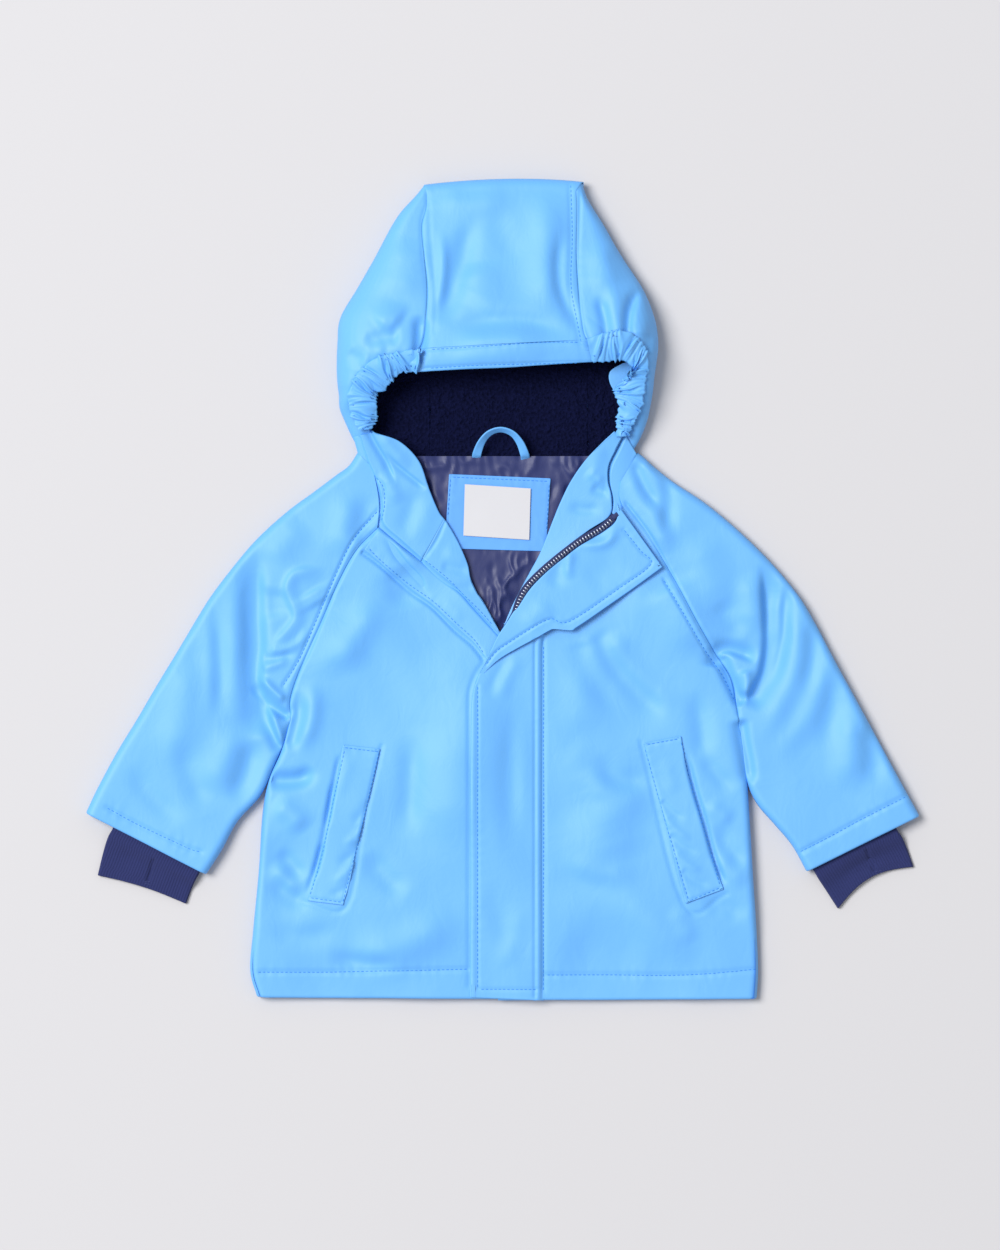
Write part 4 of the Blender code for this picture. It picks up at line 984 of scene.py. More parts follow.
class Cloth:
    """One piece of cloth: a grid of points in millimetres, then a mesh with a finish."""

    def __init__(self, name: str, grid: Array, finish: Finish = Finish.SHELL,
                 outside_up: bool = True) -> None:
        """Take the grid.

        Args:
            name: the piece's name.
            grid: its points, rows by columns by 3.
            finish: its finish.
            outside_up: whether its outer face is the upper one.
        """
        self.name = name
        self.grid = np.array(grid, float)
        self.finish = finish
        self.outside_up = outside_up

    def outward(self) -> Array:
        """Unit normals on the outer face.

        Returns:
            One for each point of the grid.
        """
        normal = unit(np.cross(np.gradient(self.grid, axis=1), np.gradient(self.grid, axis=0)))
        height = self.grid[..., 2]
        upper = height >= np.quantile(height, UPPER_SHARE)
        up = normal[..., 2][upper].sum() > 0
        return normal if up == self.outside_up else -normal

    def shape(self, relief: Relief) -> "Cloth":
        """Raise the upper face by a relief, less where the cloth stands steep.

        Args:
            relief: what shapes it.

        Returns:
            The piece, so that calls can follow each other.
        """
        facing = np.clip(self.outward()[..., 2], 0, 1)
        rise = relief.at(self.grid[..., :2])
        rise = np.where(rise < 0, MAX_DENT * np.tanh(rise / MAX_DENT), rise)
        self.grid[..., 2] += rise * facing
        return self

    def wrinkle(self, height: float, size: float, seed: float) -> "Cloth":
        """Move every point along its normal by noise.

        Args:
            height: of the noise, in millimetres.
            size: of its lumps, in millimetres.
            seed: which stretch of it.

        Returns:
            The piece.
        """
        moved = noise_at(self.grid, size, seed)
        self.grid += self.outward() * (height * moved)[..., None]
        return self

    def hem(self, side: Side, radius: float, depth: float) -> "Cloth":
        """Roll one edge inwards and turn it back inside, keeping where it ends.

        Args:
            side: which edge.
            radius: of the roll, half the hem's thickness.
            depth: how far the cloth is turned back.

        Returns:
            The piece.
        """
        inner = side.counted(-self.outward())
        rows = side.counted(self.grid).copy()
        along = unit(rows[0] - rows[2])
        for k, share in enumerate(TAPER):
            rows[k] -= along * radius * share
        turned = [rows[0] + along * radius * math.sin(t) + inner[1] * radius * (1 - math.cos(t))
                  for t in np.linspace(0, math.pi, 7)[1:]]
        end = turned[-1]
        turned += [end - along * depth * share for share in np.linspace(0, 1, 4)[1:]]
        self.grid = side.restored(np.concatenate([np.array(turned)[::-1], rows]))
        return self

    def lip(self, side: Side, depth: float = 3.5) -> "Cloth":
        """Turn one edge straight in, where it is sewn to its neighbour.

        Args:
            side: which edge.
            depth: how far it is turned in.

        Returns:
            The piece.
        """
        inner, rows = side.counted(-self.outward()), side.counted(self.grid)
        turned = [rows[0] + inner[2] * depth * share for share in TAPER]
        self.grid = side.restored(np.concatenate([np.array(turned), rows]))
        return self

    def flange(self, side: Side, width: float = 5.0, drop: float = 3.0) -> "Cloth":
        """Run one edge on and down, under the piece it is sewn to.

        Args:
            side: which edge.
            width: how far it runs on in plan.
            drop: how far it goes down.

        Returns:
            The piece.
        """
        rows = side.counted(self.grid)
        away = unit((rows[0] - rows[2]) * (1, 1, 0))
        added = [rows[0] + away * width * math.sin(t) - UP * drop * (1 - math.cos(t))
                 for t in np.linspace(0, math.pi / 2, 6)[1:]]
        self.grid = side.restored(np.concatenate([np.array(added)[::-1], rows]))
        return self

    def build(self) -> bpy.types.Object:
        """The piece as a mesh object, with the cloth's own measure as its UV map.

        Returns:
            The object, in the scene.
        """
        rows, columns = self.grid.shape[:2]
        work = bmesh.new()
        bmesh.ops.create_grid(work, x_segments=columns - 1, y_segments=rows - 1, size=1.0)
        work.verts.ensure_lookup_table()
        across = np.gradient(self.grid, axis=1)
        down = np.gradient(self.grid, axis=0)
        wide = np.cumsum(np.linalg.norm(across, axis=-1), axis=1) * MM
        long = np.cumsum(np.linalg.norm(down, axis=-1), axis=0) * MM
        measure = np.stack([wide, long], axis=-1).reshape(-1, 2)
        for vertex, place in zip(work.verts, self.grid.reshape(-1, 3) * MM):
            vertex.co = place
        layer = work.loops.layers.uv.new("cloth")
        for face in work.faces:
            for loop in face.loops:
                loop[layer].uv = measure[loop.vert.index]
        middle = rows // 2, columns // 2
        if np.dot(self.outward()[middle], np.cross(across, down)[middle]) < 0:
            bmesh.ops.reverse_faces(work, faces=work.faces[:])
        return placed(self.name, work, self.finish)


def placed(name: str, work: bmesh.types.BMesh, finish: Finish) -> bpy.types.Object:
    """Put a finished bmesh in the scene, smooth and with its finish.

    Args:
        name: the piece's name.
        work: its bmesh, which is freed.
        finish: its finish.

    Returns:
        The object.
    """
    mesh = bpy.data.meshes.new(name)
    work.to_mesh(mesh)
    work.free()
    mesh.materials.append(MATERIALS[finish])
    mesh.shade_smooth()
    piece = bpy.data.objects.new(name + SUFFIX, mesh)
    bpy.context.scene.collection.objects.link(piece)
    return piece


def edge_curl(seam_rows: int, count: int) -> Array:
    """How far each smoothed row's edge curls in: fully along the side seam, not past it."""
    at = np.arange((count - 1) * STEPS + 1) / STEPS
    return np.interp(at, (seam_rows - 3, seam_rows - 2, seam_rows - 1), (1, 0.6, 0))


def section(seam: Array, fold: Array, under: Array, top: float,
            fold_height: float, curl: float, rounds: Row) -> Array:
    """Points round one cross-section of a flattened tube.

    Args:
        seam: x, y where it starts, at the seam.
        fold: x, y of its outer fold.
        under: x, y where it ends underneath.
        top: height of its upper face.
        fold_height: height of the outer fold.
        curl: 1 where both ends curl in to meet half way up, and 0 where they are flat.
        rounds: radii at the seam, over the fold and under the fold.

    Returns:
        Points over the top, round the fold and back underneath.
    """
    at_seam, over_fold, under_fold = rounds
    width = np.linalg.norm(fold - seam)
    r_end = min(at_seam, 0.3 * width)
    r_fold = min(over_fold, 0.7 * width)
    low = top + (SIDE_SEAM + SEAM - top) * curl
    flat = np.concatenate([r_end * (1 - np.cos(QUARTER)),
                           width - r_fold + r_fold * np.sin(QUARTER)]) / width
    height = np.concatenate([low + (top - low) * np.sin(QUARTER),
                             fold_height + (top - fold_height) * np.cos(QUARTER)])
    over = np.column_stack([seam + flat[:, None] * (fold - seam), height])
    width = np.linalg.norm(under - fold)
    r_end = min(at_seam, 0.3 * width)
    r_fold = min(under_fold, 0.6 * width)
    flat = np.concatenate([r_fold * (1 - np.cos(QUARTER)),
                           width - r_end * (1 - np.cos(QUARTER[::-1]))]) / width
    height = np.concatenate([fold_height * (1 - np.sin(QUARTER)),
                             SIDE_SEAM * curl * (1 - np.sin(QUARTER[::-1]))])
    beneath = np.column_stack([fold + flat[:, None] * (under - fold), height])
    return np.vstack([over, beneath[1:]])


def tape_grid(path: Array, half: float, tilt: Array | float = 0.0,
              count: int = 7) -> Array:
    """A tape along a path of x, y, z, lying flat or tilted about its own line.

    Args:
        path: rows of points.
        half: half the tape's width.
        tilt: its turn from flat, in radians, for all points or for each.
        count: points across it.

    Returns:
        Grid of points.
    """
    along = np.gradient(path, axis=0)
    aside = unit(np.column_stack([-along[:, 1], along[:, 0], np.zeros(len(path))]))
    tilt = np.broadcast_to(tilt, len(path))[:, None]
    aside = aside * np.cos(tilt) + UP * np.sin(tilt)
    return path[:, None] + aside[:, None] * np.linspace(1, -1, count)[None, :, None] * half


def ringed(work: bmesh.types.BMesh, rings: Table) -> list[tuple[bmesh.types.BMVert, Row]]:
    """Cut a shape that stands from z = -0.5 to 0.5 into even rings.

    Args:
        work: the shape.
        rings: a row of values for each ring, from the lowest up.

    Returns:
        Each vertex with its ring's row.
    """
    upright = [edge for edge in work.edges if abs(edge.verts[0].co.z - edge.verts[1].co.z) > 0.5]
    bmesh.ops.subdivide_edges(work, edges=upright, cuts=len(rings) - 2)
    last = len(rings) - 1
    return [(vertex, rings[round((vertex.co.z + 0.5) * last)]) for vertex in work.verts]


def small_part(work: bmesh.types.BMesh) -> bpy.types.Mesh:
    """A mesh of a small shape that is repeated, its faces outwards.

    Args:
        work: its bmesh, which is freed.

    Returns:
        The mesh.
    """
    bmesh.ops.recalc_face_normals(work, faces=work.faces[:])
    mesh = bpy.data.meshes.new("part")
    work.to_mesh(mesh)
    work.free()
    return mesh


def stitch_shape(length: float, radius: float) -> bpy.types.Mesh:
    """One stitch along x: a tube with tapered ends that dip.

    Args:
        length: of the stitch, in millimetres.
        radius: of the thread.

    Returns:
        The mesh.
    """
    work = bmesh.new()
    bmesh.ops.create_cone(work, cap_ends=True, segments=6, radius1=1, radius2=1, depth=1)
    for vertex, (at, share, rise) in ringed(work, STITCH_RINGS):
        thick = radius * share
        vertex.co = (at * length, thick * vertex.co.y, thick * vertex.co.x + rise)
    return small_part(work)


def block_shape(length: float, width: float, height: float) -> bpy.types.Mesh:
    """A small block, sloped above its middle, with its foot sunk in the tape.

    Args:
        length: along x, in millimetres.
        width: along y.
        height: above the tape.

    Returns:
        The mesh.
    """
    work = bmesh.new()
    bmesh.ops.create_cube(work, size=1)
    rings = ((1.0, -BLOCK_SUNK), (1.0, height / 2), (BLOCK_TOP, height))
    for vertex, (share, level) in ringed(work, rings):
        vertex.co = (vertex.co.x * length * share, vertex.co.y * width * share, level)
    return small_part(work)


def repeated(name: str, part: bpy.types.Mesh, places: list[tuple],
             finish: Finish) -> bpy.types.Object:
    """One piece of many equal small parts.

    Args:
        name: the piece's name.
        part: mesh of one part, in millimetres along its own three axes, which is removed.
        places: for each part, its origin and its three axes.
        finish: its finish.

    Returns:
        The object.
    """
    shape = np.array([vertex.co for vertex in part.vertices])
    axes = np.array([place[1:] for place in places])
    origins = np.array([place[0] for place in places])
    points = np.einsum("pk,nkd->npd", shape, axes) + origins[:, None]
    work = bmesh.new()
    for placed_part in points * MM:
        part.vertices.foreach_set("co", placed_part.ravel())
        work.from_mesh(part)
    bpy.data.meshes.remove(part)
    return placed(name, work, finish)


class Ground:
    """The upper face of some finished pieces, to lay stitches on."""

    def __init__(self, pieces: list[bpy.types.Object]) -> None:
        """Gather the faces of pieces whose objects are at the origin.

        Args:
            pieces: the pieces.
        """
        points, faces = [], []
        for piece in pieces:
            start = len(points)
            points += [vertex.co.copy() for vertex in piece.data.vertices]
            faces += [[start + k for k in face.vertices] for face in piece.data.polygons]
        self.tree = BVHTree.FromPolygons(points, faces)

    def top(self, x: float, y: float) -> tuple[Array, Array] | None:
        """Highest point over a place in plan.

        Args:
            x: of the place, in millimetres.
            y: of the place, in millimetres.

        Returns:
            The point in millimetres and its normal, or None where no cloth lies.
        """
        above = Vector((x * MM, y * MM, 0.2))
        spot, normal, _, _ = self.tree.ray_cast(above, Vector((0, 0, -1)))
        if spot is None:
            return None
        return np.array(spot) / MM, np.array(normal) * (1 if normal.z > 0 else -1)


@dataclass
class Assembly:
    """A sub-assembly: its finished pieces, their finishes and the nodes they stand for."""

    made: list[tuple[bpy.types.Object, Finish, tuple[str, ...]]] = field(default_factory=list)

    def keep(self, piece: bpy.types.Object, finish: Finish, *nodes: str) -> None:
        """Note a finished piece, its finish and the part's nodes that it stands for."""
        self.made.append((piece, finish, nodes))

    def sew(self, cloth: Cloth, *nodes: str) -> None:
        """Build a cloth and note it, for its own name as node where no other is given."""
        self.keep(cloth.build(), cloth.finish, *(nodes or (cloth.name,)))

    def dress(self) -> None:
        """Hang each piece on the body, and hide the part's nodes that it stands for."""
        for piece, finish, nodes in self.made:
            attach(piece, BODY)
            if nodes:
                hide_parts(*nodes)


@dataclass(frozen=True)
class Front:
    """One front: its name and the tables of its edges."""

    name: str
    side: Table
    raglan: Table
    centre: Table
    neck: Table
    across: float = 175.0

    def grid(self) -> Array:
        """A panel rounded at the side seam and flat at the raglan seam and the zip.

        Returns:
            Grid of points.
        """
        outer = chained(self.side, self.raglan)
        inner = chained(self.centre, self.neck)
        curl = edge_curl(len(self.side), len(self.side) + len(self.raglan) - 1)
        rows = spread(np.column_stack([outer, inner, curl]), points_for(length_of(outer), GRAIN), 4)
        found = []
        for row in rows:
            edge, middle, turn = row[:2], row[2:4], row[4]
            width = np.linalg.norm(middle - edge)
            r_end = min(SIDE_ROUND, 0.3 * width)
            flat = np.append(r_end * (1 - np.cos(QUARTER)), width) / width
            low = TOP + (SIDE_SEAM + SEAM - TOP) * turn
            height = np.append(low + (TOP - low) * np.sin(QUARTER), TOP)
            points = np.column_stack([edge + flat[:, None] * (middle - edge), height])
            found.append(spread(points, points_for(self.across, GRAIN)))
        return np.array(found)


@dataclass
class Body(Assembly):
    """The two fronts and the back, with their hems."""

    fronts: tuple[Front, ...] = (
        Front("front_right", SIDE_RIGHT, RAGLAN_FRONT_RIGHT, CENTRE_RIGHT, NECK_EDGE_RIGHT),
        Front("front_left", SIDE_LEFT, RAGLAN_FRONT_LEFT, CENTRE_LEFT, NECK_EDGE_LEFT))
    back_across: float = 350.0
    back_grain: float = 3.0
    hem: Row = (1.8, 14)

    def build(self) -> None:
        """Build the three panels."""
        for front in self.fronts:
            grid = front.grid()
            grid[..., 2] -= hem_fall(grid)
            panel = Cloth(front.name, grid).shape(BODY_RELIEF)
            self.sew(panel.lip(Side.FIRST_COLUMN).hem(Side.FIRST_ROW, *self.hem))
        back = Cloth("back", self.back_grid(), outside_up=False)
        back.lip(Side.FIRST_COLUMN).lip(Side.LAST_COLUMN)
        self.sew(back.hem(Side.FIRST_ROW, *self.hem))

    def back_grid(self) -> Array:
        """The back: flat on the surface, its sides curled up to the side seams.

        Returns:
            Grid of points.
        """
        right = chained(SIDE_RIGHT, RAGLAN_BACK_RIGHT)
        left = chained(SIDE_LEFT, RAGLAN_BACK_LEFT)
        curl = edge_curl(len(SIDE_RIGHT), len(SIDE_RIGHT) + len(RAGLAN_BACK_RIGHT) - 1)
        count = points_for(length_of(right), self.back_grain)
        found = []
        for row in spread(np.column_stack([right, left, curl]), count, 4):
            a, b, turn = row[:2], row[2:4], row[4]
            width = np.linalg.norm(b - a)
            near = SIDE_ROUND * (1 - np.cos(QUARTER))
            rise = SIDE_SEAM * turn * (1 - np.sin(QUARTER))
            flat = np.concatenate([near, width - near[::-1]]) / width
            height = np.concatenate([rise, rise[::-1]])
            points = np.column_stack([a + flat[:, None] * (b - a), height])
            found.append(spread(points, points_for(self.back_across, self.back_grain)))
        return np.array(found)


@dataclass(frozen=True)
class Sleeve:
    """One raglan sleeve: its name, the tables of its tube, seams and head, and its section."""

    name: str
    arm: Table
    front: Table
    back: Table
    overarm: Table
    head: Table
    rounds: Row = (5.5, 5.8, 5.5)
    girth: float = 210.0
    curl_end: int = 8

    def grid(self) -> Array:
        """A flattened tube to the armpit, then open to the front and the back.

        Returns:
            Grid of points.
        """
        tube, crown = smooth(self.arm), smooth(self.head)
        seam = np.vstack([tube[:, :2], smooth(self.front)[1:], crown[1:, :2]])
        fold = np.vstack([tube[:, 2:], smooth(self.overarm)[1:], crown[1:, 2:]])
        under = np.vstack([tube[:, :2], smooth(self.back)[1:]])
        curl = (np.arange(len(seam)) < len(tube)).astype(float)
        curl[len(tube) - self.curl_end:len(tube)] = np.linspace(1, 0, self.curl_end)
        rows = np.column_stack([seam, fold, under, curl])
        count = points_for(self.girth, GRAIN)
        return np.array([
            spread(section(row[:2], row[2:4], row[4:6], TOP, SIDE_SEAM, row[6], self.rounds), count)
            for row in spread(rows, points_for(length_of(fold), GRAIN), 4)])


@dataclass(frozen=True)
class Cuff:
    """One knit cuff: its name, its table and how far its free edge is drawn back."""

    name: str
    table: Table
    bow: float
    grain: float = 1.2
    girth: float = 140.0
    across: int = 12

    def grid(self) -> Array:
        """A flattened tube that comes out of the sleeve and rests on the surface.

        Returns:
            Grid of points.
        """
        rows = matched_rows(self.table, self.grain)
        along = unit(rows[-1, :2] + rows[-1, 2:4] - rows[0, :2] - rows[0, 2:4])
        found = []
        for k, row in enumerate(rows):
            a, o, low, thick = row[:2], row[2:4], row[4], row[5]
            width = np.linalg.norm(o - a)
            middle = low + thick / 2
            end = thick / 2 * (1 - np.cos(QUARTER))
            swell = thick / 2 * np.sin(QUARTER)
            inside = np.linspace(end[-1], width - end[-1], self.across + 2)[1:-1]
            flat = np.concatenate([end, inside, width - end[::-1]]) / width
            drawn = self.bow * (k / (len(rows) - 1)) ** 2 * np.sin(math.pi * flat)
            plan = a + flat[:, None] * (o - a) - drawn[:, None] * along
            height = np.concatenate([swell, np.full(len(inside), thick / 2), swell[::-1]])
            over = np.column_stack([plan, middle + height])
            below = np.column_stack([plan, middle - height])[::-1][1:]
            found.append(spread(np.vstack([over, below]), points_for(self.girth, self.grain)))
        return np.array(found)


@dataclass
class Sleeves(Assembly):
    """The two raglan sleeves and their knit cuffs."""

    sleeves: tuple[Sleeve, ...] = (
        Sleeve("sleeve_right", ARM_RIGHT, RAGLAN_FRONT_RIGHT, RAGLAN_BACK_RIGHT, OVERARM_RIGHT,
               HEAD_RIGHT),
        Sleeve("sleeve_left", ARM_LEFT, RAGLAN_FRONT_LEFT, RAGLAN_BACK_LEFT, OVERARM_LEFT,
               HEAD_LEFT))
    cuffs: tuple[Cuff, ...] = (Cuff("cuff_right", CUFF_RIGHT, 2.0),
                               Cuff("cuff_left", CUFF_LEFT, 8.0))
    sleeve_hem: Row = (1.4, 16)
    cuff_hem: Row = (0.6, 12)

    def build(self) -> None:
        """Build the sleeves and the cuffs."""
        for sleeve in self.sleeves:
            tube = Cloth(sleeve.name, sleeve.grid()).shape(BODY_RELIEF)
            tube.lip(Side.FIRST_COLUMN).lip(Side.LAST_COLUMN)
            self.sew(tube.hem(Side.FIRST_ROW, *self.sleeve_hem))
        for cuff in self.cuffs:
            tube = Cloth(cuff.name, cuff.grid(), Finish.RIB).shape(Relief(CUFF_FOLDS, CUFF_SLITS))
            self.sew(tube.hem(Side.LAST_ROW, *self.cuff_hem))


@dataclass(frozen=True)
class Casing:
    """One gathered elastic casing: its edges, and the pitch, depth and phase of its gathers."""

    name: str
    table: Table
    pitch: float
    depth: float
    phase: float
    grain: float = 0.7
    bulge: float = 2.2
    scallop: float = 2.1
    stray: Row = (2.6, 2.4)

    def grid(self) -> Array:
        """A soft roll crossed by uneven gathers, scalloped at both edges.

        Returns:
            Grid of points.
        """
        grid = strip(self.table, self.grain)
        columns = grid.shape[1]
        along = distances(grid[:, columns // 2])
        share = np.linspace(0, 1, columns)
        arch = np.sin(math.pi * share) ** 0.6
        at = along[:, None] + self.stray[0] * np.sin(along * 0.27 + self.phase)[:, None]
        at = at + self.stray[1] * np.sin(3.4 * share + along[:, None] * 0.31 + self.phase)
        wave = np.abs(np.sin(math.pi * at / self.pitch)) ** 0.6
        wave += 0.35 * np.sin(2.7 * math.pi * at / self.pitch + 5.0 * share)
        wave += 0.22 * np.sin(5.3 * math.pi * at / self.pitch + 9.0 * share + self.phase)
        strong = 0.7 + 0.3 * np.sin(along * 0.57 + 2.0 * self.phase)[:, None]
        grid[..., 2] += arch * (self.bulge + self.depth * strong * (wave - 0.5))
        out = grid[:, :1] - grid[:, -1:]
        out /= np.linalg.norm(out, axis=-1, keepdims=True)
        grid += out * ((0.5 - share) * 2 * self.scallop * strong * (wave - 0.5))[..., None]
        return grid


@dataclass
class Hood(Assembly):
    """The hood: three panels, the brim, the gathered casings and the pile lining.

    The centre starts at neck_y, lies between under_x beneath the hood, goes over a fold of
    fold_radius that bows out by fold_bow, and arches by crown.  The top sags towards its corners
    and is drawn in at the wearer's left.
    """

    casings: tuple[Casing, ...] = (Casing("hood_casing_right", CASING_RIGHT, 6.4, 2.5, 0.4),
                                   Casing("hood_casing_left", CASING_LEFT, 6.8, 2.4, 1.7))
    side_girth: float = 130.0
    centre_width: float = 115.0
    neck_y: float = 92.0
    under_x: Row = (-50.6, 60.3)
    fold_radius: float = 7.5
    fold_bow: float = 2.8
    fold_rows: int = 7
    crown: float = 4.0
    sag: float = 4.4
    drawn_in: float = 6.5
    lining_depth: float = 2.6
    pile: Row = (0.8, 5.0, 3.0)
    lining_lip: float = -1.8
    seam_lip: float = 2.5
    brim_bulge: float = 1.2
    brim_columns: int = 16
    brim_hem: Row = (1.2, 8)
    brim_lip: float = 2.0
    casing_hems: tuple[Row, Row] = ((1.0, 5), (0.9, 3))
    end_hem: Row = (0.6, 3)

    def build(self) -> None:
        """Build the shell with the lining inside it, then the brim and the casings."""
        relief = Relief(HOOD_FOLDS, HOOD_SEAMS, 0.6, HOOD_GATHERS)
        shells = [Cloth("hood_side_right", self.side_grid(HOOD_SIDE_RIGHT)),
                  Cloth("hood_side_left", self.side_grid(HOOD_SIDE_LEFT)),
                  Cloth("hood_centre", self.centre_grid())]
        for shell in shells:
            shell.shape(relief)
        brim_seam = shells[-1].grid[-1].copy()
        for shell in shells:
            self.build_lining(shell)
            shell.lip(Side.FIRST_COLUMN, self.seam_lip)
            self.sew(shell.lip(Side.LAST_COLUMN, self.seam_lip))
        self.build_brim(brim_seam)
        for casing in self.casings:
            band = Cloth(casing.name, casing.grid())
            free, sewn = self.casing_hems
            self.sew(band.hem(Side.LAST_COLUMN, *free).hem(Side.FIRST_COLUMN, *sewn))
        end = Cloth("hood_casing_end", strip(CASING_END, FINE))
        self.sew(end.hem(Side.LAST_COLUMN, *self.end_hem), "hood_casing_left")

    def settled(self, points: Array) -> Array:
        """The top sagged towards its corners, and drawn in at the wearer's left.

        Args:
            points: grid of points, which is changed.

        Returns:
            The same grid.
        """
        x, y = points[..., 0].copy(), points[..., 1].copy()
        points[..., 1] -= self.sag * np.minimum(((x - 12) / 68) ** 2, 1) * ease((y - 250) / 34)
        points[..., 0] -= self.drawn_in * ease((x - 20) / 75) * ease((y - 180) / 75)
        return points

    def side_grid(self, table: Table) -> Array:
        """A side: over the top, round its outline and back underneath, to the top fold.

        Args:
            table: its seam, outline and underside.

        Returns:
            Grid of points.
        """
        curve = smooth(table)
        rows = spread(curve, points_for(length_of(curve[:, 3:6]), GRAIN), 6)
        found = []
        for row in rows:
            width = np.linalg.norm(row[3:5] - row[:2])
            points = section(row[:2], row[3:5], row[6:8], row[2], row[5], 0.0,
                             (SIDE_ROUND, 0.5 * width + 1, SIDE_ROUND + 2))
            found.append(spread(points, points_for(self.side_girth, GRAIN)))
        points = np.array(found)
        turn = math.pi * np.linspace(0, 1, points.shape[1])
        start = rows[0]
        radius = start[2] / 2
        x = start[0] + (start[6] - start[0]) * turn / math.pi
        x += math.copysign(self.fold_bow, start[0]) * np.sin(turn)
        folded = np.column_stack([x, start[1] + (radius - 0.2) * np.sin(turn),
                                  radius + radius * np.cos(turn)])
        for k in range(self.fold_rows):
            share = ease(k / self.fold_rows)
            points[k] = folded * (1 - share) + points[k] * share
        return self.settled(points)

    def centre_grid(self) -> Array:
        """The centre: from the back neck under the hood, over the fold, to the brim seam.

        Returns:
            Grid of points.
        """
        top = smooth(HOOD_CENTRE_TOP)
        right, left = (smooth(side)[:len(top)] for side in (HOOD_SIDE_RIGHT, HOOD_SIDE_LEFT))
        columns = points_for(self.centre_width, GRAIN)
        share = np.linspace(0, 1, columns)
        start, end = self.under_x
        rows = []
        for y in np.linspace(self.neck_y, top[0, 0], 30):
            rows.append((start + (end - start) * share, np.full(columns, y), np.zeros(columns)))
        for turn in np.linspace(0, math.pi, 14)[1:-1]:
            part = turn / math.pi
            bow = self.fold_bow * math.sin(turn)
            low = start + (right[0, 0] - start) * part - bow
            high = end + (left[0, 0] - end) * part + bow
            rows.append((low + (high - low) * share,
                         np.full(columns, top[0, 0] + self.fold_radius * math.sin(turn)),
                         np.full(columns, self.fold_radius * (1 - math.cos(turn)))))
        for k, (y_right, y_left, z) in enumerate(top):
            rise = self.crown * (k / (len(top) - 1)) * (1 - (2 * share - 1) ** 2)
            rows.append((right[k, 0] + (left[k, 0] - right[k, 0]) * share,
                         y_right + (y_left - y_right) * share, z + rise))
        grid = np.moveaxis(np.array(rows), 1, 2)
        along = distances(grid[:, columns // 2])
        at = np.linspace(0, along[-1], points_for(along[-1], GRAIN))
        flat = grid.reshape(len(grid), -1)
        even = np.column_stack([np.interp(at, along, each) for each in flat.T])
        return self.settled(even.reshape(-1, columns, 3))

    def build_lining(self, shell: Cloth) -> None:
        """Build the pile lining inside one shell panel.

        Args:
            shell: the panel, before its seams are turned in.
        """
        centre = shell.name == "hood_centre"
        part = np.s_[:-2, :] if centre else np.s_[4:, 6:]
        name = "hood_lining_" + shell.name.rpartition("_")[2]
        inner = shell.grid - shell.outward() * self.lining_depth
        lining = Cloth(name, inner[part], Finish.FLEECE).wrinkle(*self.pile)
        lining.lip(Side.LAST_COLUMN, self.lining_lip)
        if centre:
            lining.lip(Side.FIRST_COLUMN, self.lining_lip)
        self.sew(lining)

    def build_brim(self, seam: Array) -> None:
        """Build the brim band.

        Args:
            seam: the centre panel's last row, which it is sewn to.
        """
        edge = spread(smooth(BRIM), len(seam))
        share = np.linspace(0, 1, self.brim_columns)[:, None, None]
        grid = seam * (1 - share) + edge * share
        grid[..., 2] += self.brim_bulge * np.sin(math.pi * share[..., 0])
        brim = Cloth("hood_brim", grid).shape(Relief(BRIM_FOLDS, BRIM_SEAMS, 0.2))
        self.sew(brim.hem(Side.LAST_ROW, *self.brim_hem).lip(Side.FIRST_ROW, self.brim_lip))


@dataclass(frozen=True)
class Band:
    """A collar or facing: its name and table, how its long edges end and how low it lies."""

    name: str
    table: Table
    outer: Edge = Edge.UNDER
    inner: Edge = Edge.HEMMED
    sunk: float = 0.0


